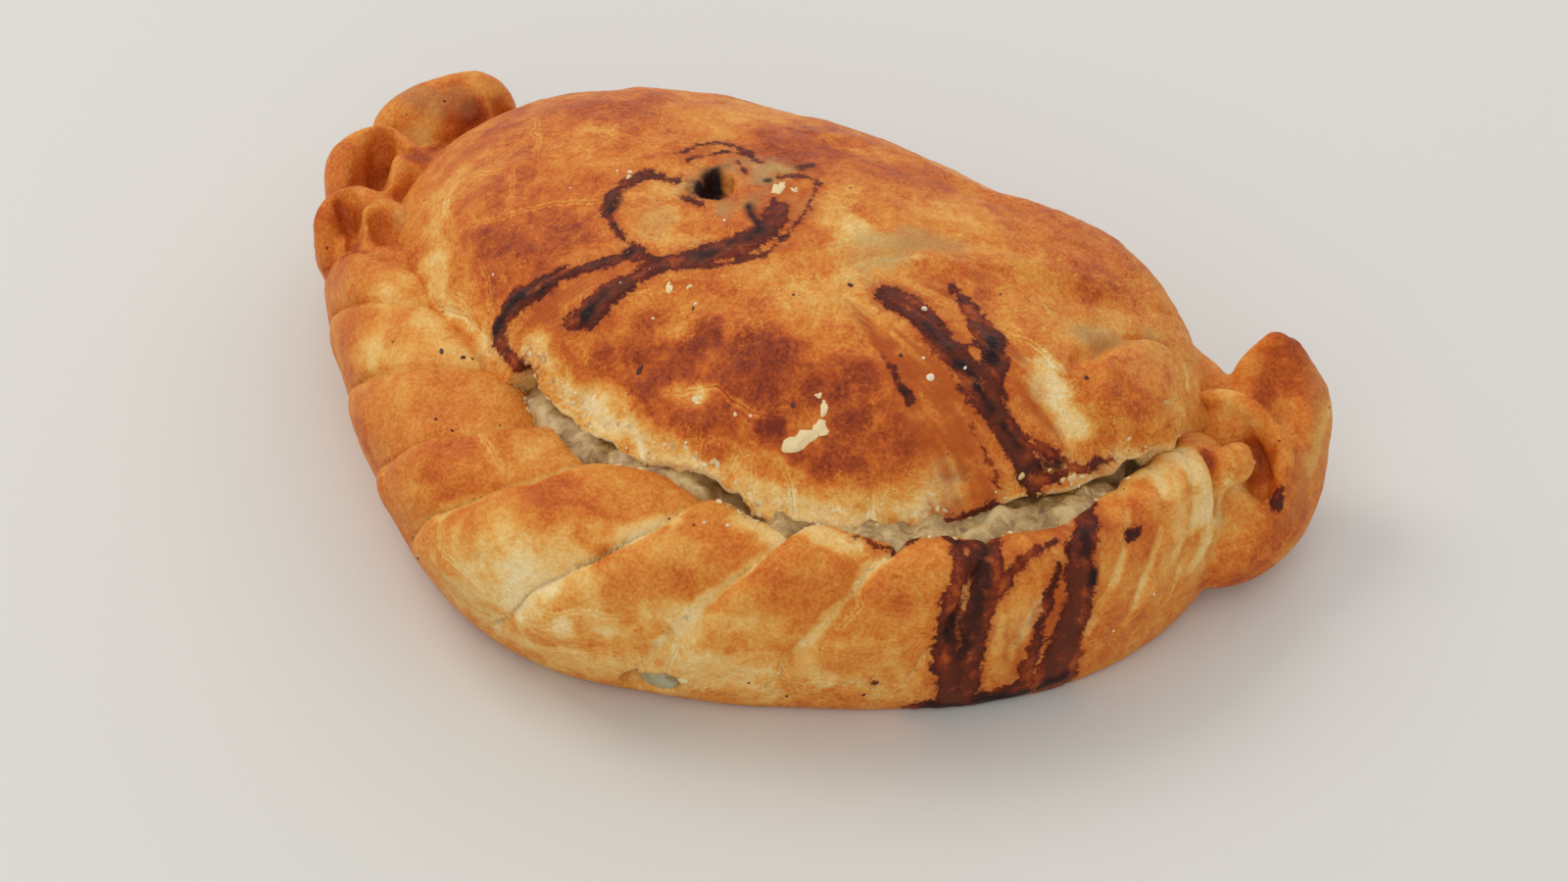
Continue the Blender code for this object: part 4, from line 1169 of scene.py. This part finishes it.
rolled.push += up * (0.35 * layered(rolled.place, 14.0, 89, 2)
                     + 0.10 * layered(rolled.place, 3.5, 97, 3)
                     + 0.08 * flakes(rolled.place, 6.0, 101))
crest = np.exp(-((part - 0.25) / 0.2) ** 2) * smooth_step(0.3, 2.0, rise)
rolled.mark["brown"] += (-0.36 + 0.30 * crest * smooth_step(8, 26, rolled.place[:, 2])
                         - 0.08 * smooth_step(22, 8, rolled.place[:, 2])
                         + 0.16 * smooth_step(-40, -70, rolled.place[:, 0]))
# Past about 245 degrees the creases show the cream of torn dough; towards the tab they are darkened
# instead, a line of painted shade along each crease.
creased = smooth_step(1.4, 0.1, gap + 0.5 * rolled.cloud) * up
rolled.mark["cream"] += 0.75 * creased * smooth_step(232, 255, angle)
rolled.mark["brown"] += 0.30 * creased * smooth_step(250, 232, angle)
rolled.mark["flaky"] += np.maximum(smooth_step(30, 8, rolled.place[:, 2]) * 0.7,
                                   smooth_step(0.2, 0.9, rolled.cloud) * 0.5)
# Painted shade: inside each pressed hollow the crust is darkened towards its bottom, put into the same mark
# as the browning.
for stops, width, depth in HOLLOWS:
    centre = np.array(stops, float)
    middle = np.linalg.norm(rolled.place[:, None] - (centre - [0, 0, depth * 0.6]), axis=-1)
    shade = smooth_step(1.5, 0.5, middle.min(axis=1) / (width + 0.8))
    rolled.mark["brown"] = np.maximum(rolled.mark["brown"], 0.4 * shade * (width > 1.4))
rolled.bake(CRIMP_CRACKS, CRIMP_FOLDS, CRIMP_PITS, CRIMP_JUICE, brown=CRIMP_BROWN_AND_SHADE,
            cream=CRIMP_CREAM, grey=CRIMP_GREY, amber=CRIMP_AMBER, char=CRIMP_CHAR)
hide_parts("crust")
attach(crimp, "root")


# ---- Filling ---------------------------------------------------------------------------
# Diced beef, potato, swede and onion, steamed soft inside the crust. It shows only in the
# crevice, where a strip of it has pushed up against the torn lip.

FILLING_ARC = (233, 362)
STRIP_DEPTH = 7.0  # half the depth of the strip that shows
FILLING_CELL = 0.8  # between the points of the filling's skin
FILLING_TOP = {
    233: 32, 240: 34.5, 252: 34.5, 262: 34, 272: 34.5, 280: 35, 290: 35, 296: 32, 301: 32,
    306: 34, 320: 34, 330: 34, 338: 33.4, 346: 33, 352: 32.5, 357: 31, 362: 29.5,
}


def packed_strip(longitude, latitude):
    """The filling that shows in the crevice, a tube along it."""
    along = latitude / math.pi + 0.5
    angle = FILLING_ARC[0] + (FILLING_ARC[1] - FILLING_ARC[0]) * along
    gape = at_angle(CREVICE, angle)
    end = np.sqrt(np.clip(1 - np.abs(2 * along - 1) ** 16, 0, 1))
    side, lift = (end * rounded(wave(longitude), 0.7) for wave in (np.cos, np.sin))
    radius = at_angle(LIP_REACH, angle) + gape / 2 - 1.5 + (gape / 2 + 4.5) * side
    return from_hub(radius, angle, at_angle(FILLING_TOP, angle) + STRIP_DEPTH * (lift - 1))


def node_copy(name):
    """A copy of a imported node's mesh with its loose triangles merged, open for changes."""
    copy = bmesh.new()
    copy.from_mesh(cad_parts[name].data)
    bmesh.ops.remove_doubles(copy, verts=copy.verts, dist=1e-6)
    return copy


core = mesh_of("core", node_copy("filling"))
strip = shaped_ball("strip", packed_strip, 24, 260)
filling = new_piece("filling_mash", one_skin("packed", merged("stuff", [core, strip]), FILLING_CELL, 1))
place = points_of(filling.data)
lump = 0.8 * layered(place, 4.5, 107, 2) + 0.6 * layered(place, 1.6, 113, 2)
set_points(filling.data, place + normals_of(filling.data) * lump[:, None]
           * smooth_step(14, 20, place[:, 2])[:, None])
filling.data = one_skin("filling_mash", filling.data, FILLING_CELL, 1)
filling.data.shade_smooth()

# Stewed beef and potato: moist fibres and soft crumbled dice, buff to brown, with a low sheen.
FILLING_TONES = (
    (0.00, "4A2A14"), (0.34, "6E4A26"), (0.46, "A27E48"), (0.58, "C6A66E"), (1.00, "E0CA98"),
)
mash, tree, shader = new_material("stewed_beef_and_potato")
spot = add_node(tree, "ShaderNodeTexCoord").outputs["Object"]
strands = add_node(tree, "ShaderNodeTexNoise", {
    "Vector": spot, "Scale": 1 / (3 * MM), "Detail": 6.0, "Roughness": 0.7, "Distortion": 1.2})
bent = add_node(tree, "ShaderNodeVectorMath", {
    0: strands.outputs["Color"], 1: (3 * MM,) * 3, 2: spot}, operation="MULTIPLY_ADD")
dice = add_node(tree, "ShaderNodeTexVoronoi", {"Vector": bent, "Scale": 1 / (4.5 * MM)},
                feature="SMOOTH_F1")
mixed = add_node(tree, "ShaderNodeMix", {0: 0.72, 2: dice.outputs["Color"], 3: strands})
feed(tree, shader, {
    "Base Color": set_tones(add_node(tree, "ShaderNodeValToRGB", {"Fac": mixed}), FILLING_TONES),
    "Roughness": 0.38, "Normal": add_node(tree, "ShaderNodeBump", {
        "Height": strands, "Strength": 0.6, "Distance": 0.4 * MM})})
filling.data.materials.append(mash)
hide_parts("filling")
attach(filling, "root")


# ---- Onion -----------------------------------------------------------------------------
# A soft slice of onion that shows through a small tear at the foot of the crimp.

slice_shape = node_copy("onion_piece")
bmesh.ops.subdivide_edges(slice_shape, edges=slice_shape.edges, cuts=3, use_grid_fill=True)
onion = new_piece("onion_slice", mesh_of("onion_slice", slice_shape))
place = points_of(onion.data)
shrink = 0.5 + 0.4 * layered(place, 3.0, 151, 2)
set_points(onion.data, place - normals_of(onion.data) * shrink[:, None])
onion.data.shade_smooth()
# Softened onion: wet, glassy and greenish white, with darker veins along its grain.
flesh, tree, shader = new_material("softened_onion")
veins = add_node(tree, "ShaderNodeTexNoise", {
    "Vector": add_node(tree, "ShaderNodeTexCoord").outputs["Object"], "Scale": 1 / (3 * MM),
    "Detail": 4.0, "Distortion": 1.5})
veined = add_node(tree, "ShaderNodeMix", {
    0: veins, 6: linear("A39A6C"), 7: linear("D2CBA6")}, data_type="RGBA")
feed(tree, shader, {"Base Color": veined.outputs[2], "Roughness": 0.22,
                    "Transmission Weight": 0.25})
onion.data.materials.append(flesh)
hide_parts("onion_piece")
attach(onion, "root")


# ---- Crumbs ----------------------------------------------------------------------------
# Loose bits on the crust, one piece of each kind: pale flakes off the lid, crumbs torn from
# the burst seam, white grains of salt and starch, and burnt specks of meat.

strewn, given = new_tree("strewn_bits", ("Seed", "Grain"))
size, aim = (add_node(strewn, "GeometryNodeInputNamedAttribute", {"Name": name},
                      data_type="FLOAT_VECTOR") for name in ("bit_size", "bit_normal"))
facing = add_node(strewn, "FunctionNodeAlignRotationToVector", {"Vector": aim}, axis="Z")
spin = add_node(strewn, "FunctionNodeRandomValue", {
    2: 0.0, 3: 6.28, "Seed": given.outputs["Seed"]}, data_type="FLOAT")
around = add_node(strewn, "FunctionNodeAxisAngleToRotation", {"Angle": spin.outputs[1]})
turned = add_node(strewn, "FunctionNodeRotateRotation", {0: facing, 1: around},
                  rotation_space="LOCAL")
placed = add_node(strewn, "GeometryNodeInstanceOnPoints", {
    "Points": add_node(strewn, "GeometryNodeMeshToPoints", {0: given.outputs["Mesh"]}),
    "Instance": add_node(strewn, "GeometryNodeMeshIcoSphere", {"Radius": 1.0, "Subdivisions": 3}),
    "Rotation": turned, "Scale": size})
whole = add_node(strewn, "GeometryNodeRealizeInstances", {0: placed})
bumps = add_node(strewn, "ShaderNodeTexNoise", {"Scale": 1 / (1.5 * MM), "Detail": 4.0})
centred = add_node(strewn, "ShaderNodeVectorMath", {
    0: bumps.outputs["Color"], 1: (0.5, 0.5, 0.5)}, operation="SUBTRACT")
jitter = add_node(strewn, "ShaderNodeVectorMath", {
    0: centred, "Scale": given.outputs["Grain"]}, operation="SCALE")
close_tree(strewn, given, add_node(strewn, "GeometryNodeSetPosition", {
    "Geometry": whole, "Offset": jitter}))

# Stops are on the lid with two numbers and on the crimp with three; then length, width and
# thickness. Some more salt and specks, and all torn crumbs, fall at random.
PASTRY_FLAKES = (
    ((312, 46.4), 3.0, 7.0, 0.7), ((317, 46.2), 3.0, 3.2, 0.6), ((318.5, 43.2), 3.0, 1.8, 0.6),
    ((318, 41), 1.2, 1.5, 0.5), ((259, 20), 2.4, 1.1, 0.5), ((268, 18.5), 1.6, 0.9, 0.4),
    ((90, 11.5), 4.2, 2.4, 0.7), ((78, 13), 1.8, 1.2, 0.5), ((20, 79), 2.8, 1.2, 0.5),
    ((174, 26), 1.2, 0.9, 0.4), ((288, 37), 3.0, 1.6, 0.4), ((298, 40), 1.2, 0.8, 0.4),
    ((285, 70, 3.5), 3.0, 1.6, 0.6), ((291, 70, 8), 1.6, 2.4, 0.5), ((240, 44), 2.0, 1.2, 0.5),
)
SALT_GRAINS = (
    ((357, 37.5), 1.1, 0.9, 0.8), ((343, 47), 1.4, 1.6, 0.7), ((345, 44), 0.6, 0.6, 0.5),
    ((350, 50), 0.8, 0.5, 0.4), ((297, 57, 31), 0.7, 0.7, 0.5), ((293, 57, 31.5), 0.6, 0.5, 0.4),
    ((171, 27), 0.8, 0.8, 0.5), ((173, 29), 0.6, 0.6, 0.5), ((276, 21), 0.6, 0.6, 0.4),
    ((262, 26), 0.6, 0.5, 0.4), ((372, 98, 26), 0.7, 0.5, 0.4), ((348, 84, 12), 0.5, 0.5, 0.4),
    ((354, 84, 16), 0.6, 0.6, 0.4), ((302, 41), 0.6, 0.6, 0.4), ((210, 45), 0.6, 0.6, 0.4),
)
BURNT_SPECKS = (
    ((267, 34), 2.4, 0.9, 0.7), ((350, 24), 1.2, 0.8, 0.5), ((341, 41), 0.9, 0.7, 0.5),
    ((4.6, 66), 1.0, 0.8, 0.5), ((312, 41.5), 0.9, 0.8, 0.5), ((250, 43, 34), 1.4, 0.7, 0.5),
    ((220, 55, 33), 1.4, 0.8, 0.5), ((222, 51.5, 33), 1.0, 0.7, 0.5), ((224, 47, 34), 0.8, 0.6, 0.4),
    ((240, 59, 32), 0.8, 0.6, 0.4), ((236, 60, 32), 0.6, 0.5, 0.4), ((247.5, 71, 14.5), 0.7, 0.6, 0.4),
    ((301, 70, 8), 0.6, 0.5, 0.3), ((306, 70, 5), 0.6, 0.5, 0.3), ((319, 70, 10), 1.0, 0.8, 0.4),
    ((317, 71, 6), 0.8, 0.6, 0.4), ((325, 20), 0.6, 0.5, 0.3), ((276, 22), 0.8, 0.5, 0.4),
)
RANDOM_SPECKS = 46
RANDOM_GRAINS = 12
TORN_CRUMBS = 300


def on_top(sheet):
    """Which points of a sheet face up, well off the table."""
    return (sheet.normal[:, 2] > 0.2) & (sheet.place[:, 2] > 18)


def on_torn_edge(sheet):
    """Which points of a sheet lie along the open crevice."""
    angle, radius = hub_place(sheet.top)
    gape = at_angle(CREVICE, angle)
    past = radius - at_angle(LIP_REACH, angle)
    near = past > -1.6 if sheet is baked else past < gape + 1.2
    return near & (past < gape + 3.0) & (gape > 0.4) & (sheet.top[:, 2] > 31.5)


def strewn_on(stops_and_sizes, extra, seed, chosen, widths):
    """A mesh of bare points on the crust, each with its size and the way it faces."""
    bits = []
    for stop, *size in stops_and_sizes:
        sheet = rolled if len(stop) == 3 else baked
        stop = stop if len(stop) == 3 else (*stop, float(dome_height(*stop)))
        bits.append((sheet, sheet.near_tree.find(from_hub(stop[1], stop[0], stop[2]))[1], size))
    chance = np.random.default_rng(seed)
    shown = {sheet: np.nonzero(chosen(sheet))[0] for sheet in (baked, rolled)}
    for _ in range(extra):
        sheet = (baked, rolled)[chance.integers(2)]
        wide = chance.uniform(*widths)
        bits.append((sheet, chance.choice(shown[sheet]), (wide * 1.6, wide, wide * 0.6)))
    data = bpy.data.meshes.new("bits")
    data.from_pydata([sheet.top[index] * MM for sheet, index, _ in bits], [], [])
    for name, values in (("bit_size", [np.array(size) / 2 * MM for _, _, size in bits]),
                         ("bit_normal", [sheet.normal[index] for sheet, index, _ in bits])):
        field = data.attributes.new(name, "FLOAT_VECTOR", "POINT")
        field.data.foreach_set("vector", np.array(values, np.float32).reshape(-1))
    return data


# Loose flakes are dry and matt, torn crumbs matt and patchy from cream to toast, salt is a
# dull white with a faint glint, and burnt meat is almost black with a greasy sheen.
finishes = {}
for name, code, roughness in (
        ("loose_pastry_flake", "E8CE98", 0.7), ("torn_pastry_crumb", "E3CD9C", 0.75),
        ("salt_and_starch", "E4D3B4", 0.5), ("burnt_meat_speck", "43190E", 0.45)):
    finishes[name], tree, shader = new_material(name)
    feed(tree, shader, {"Base Color": linear(code), "Roughness": roughness})
    if name == "torn_pastry_crumb":
        patchy = add_node(tree, "ShaderNodeTexNoise", {
            "Vector": add_node(tree, "ShaderNodeTexCoord").outputs["Object"],
            "Scale": 1 / (3 * MM), "Detail": 3.0})
        toasted = add_node(tree, "ShaderNodeMapRange", {
            "Value": patchy, "From Min": 0.38, "From Max": 0.62})
        tone = add_node(tree, "ShaderNodeMix", {
            0: toasted, 6: linear("C08F50"), 7: linear(code)}, data_type="RGBA")
        feed(tree, shader, {"Base Color": tone.outputs[2]})

# Each kind: the listed bits, how many fall at random and where, with the range of
# their widths, how ragged they are, their finish and a slot.
for name, kinds, extra, seed, chosen, widths, ragged, finish, slot in (
        ("pastry_flakes", PASTRY_FLAKES, 0, 3, on_top, (1, 1), 2.2, "loose_pastry_flake",
         "crust"),
        ("torn_crumbs", (), TORN_CRUMBS, 9, on_torn_edge, (0.3, 1.0), 1.0, "torn_pastry_crumb",
         "crust"),
        ("salt_grains", SALT_GRAINS, RANDOM_GRAINS, 5, on_top, (0.18, 0.4), 0.5,
         "salt_and_starch", "crust"),
        ("burnt_specks", BURNT_SPECKS, RANDOM_SPECKS, 7, on_top, (0.18, 0.42), 0.6,
         "burnt_meat_speck", "juice")):
    bits = new_piece(name, strewn_on(kinds, extra, seed, chosen, widths))
    bits.data = grown(bits, strewn, {
        "Seed": seed, "Grain": ragged * MM, "Finish": finishes[finish]})
    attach(bits, "root")
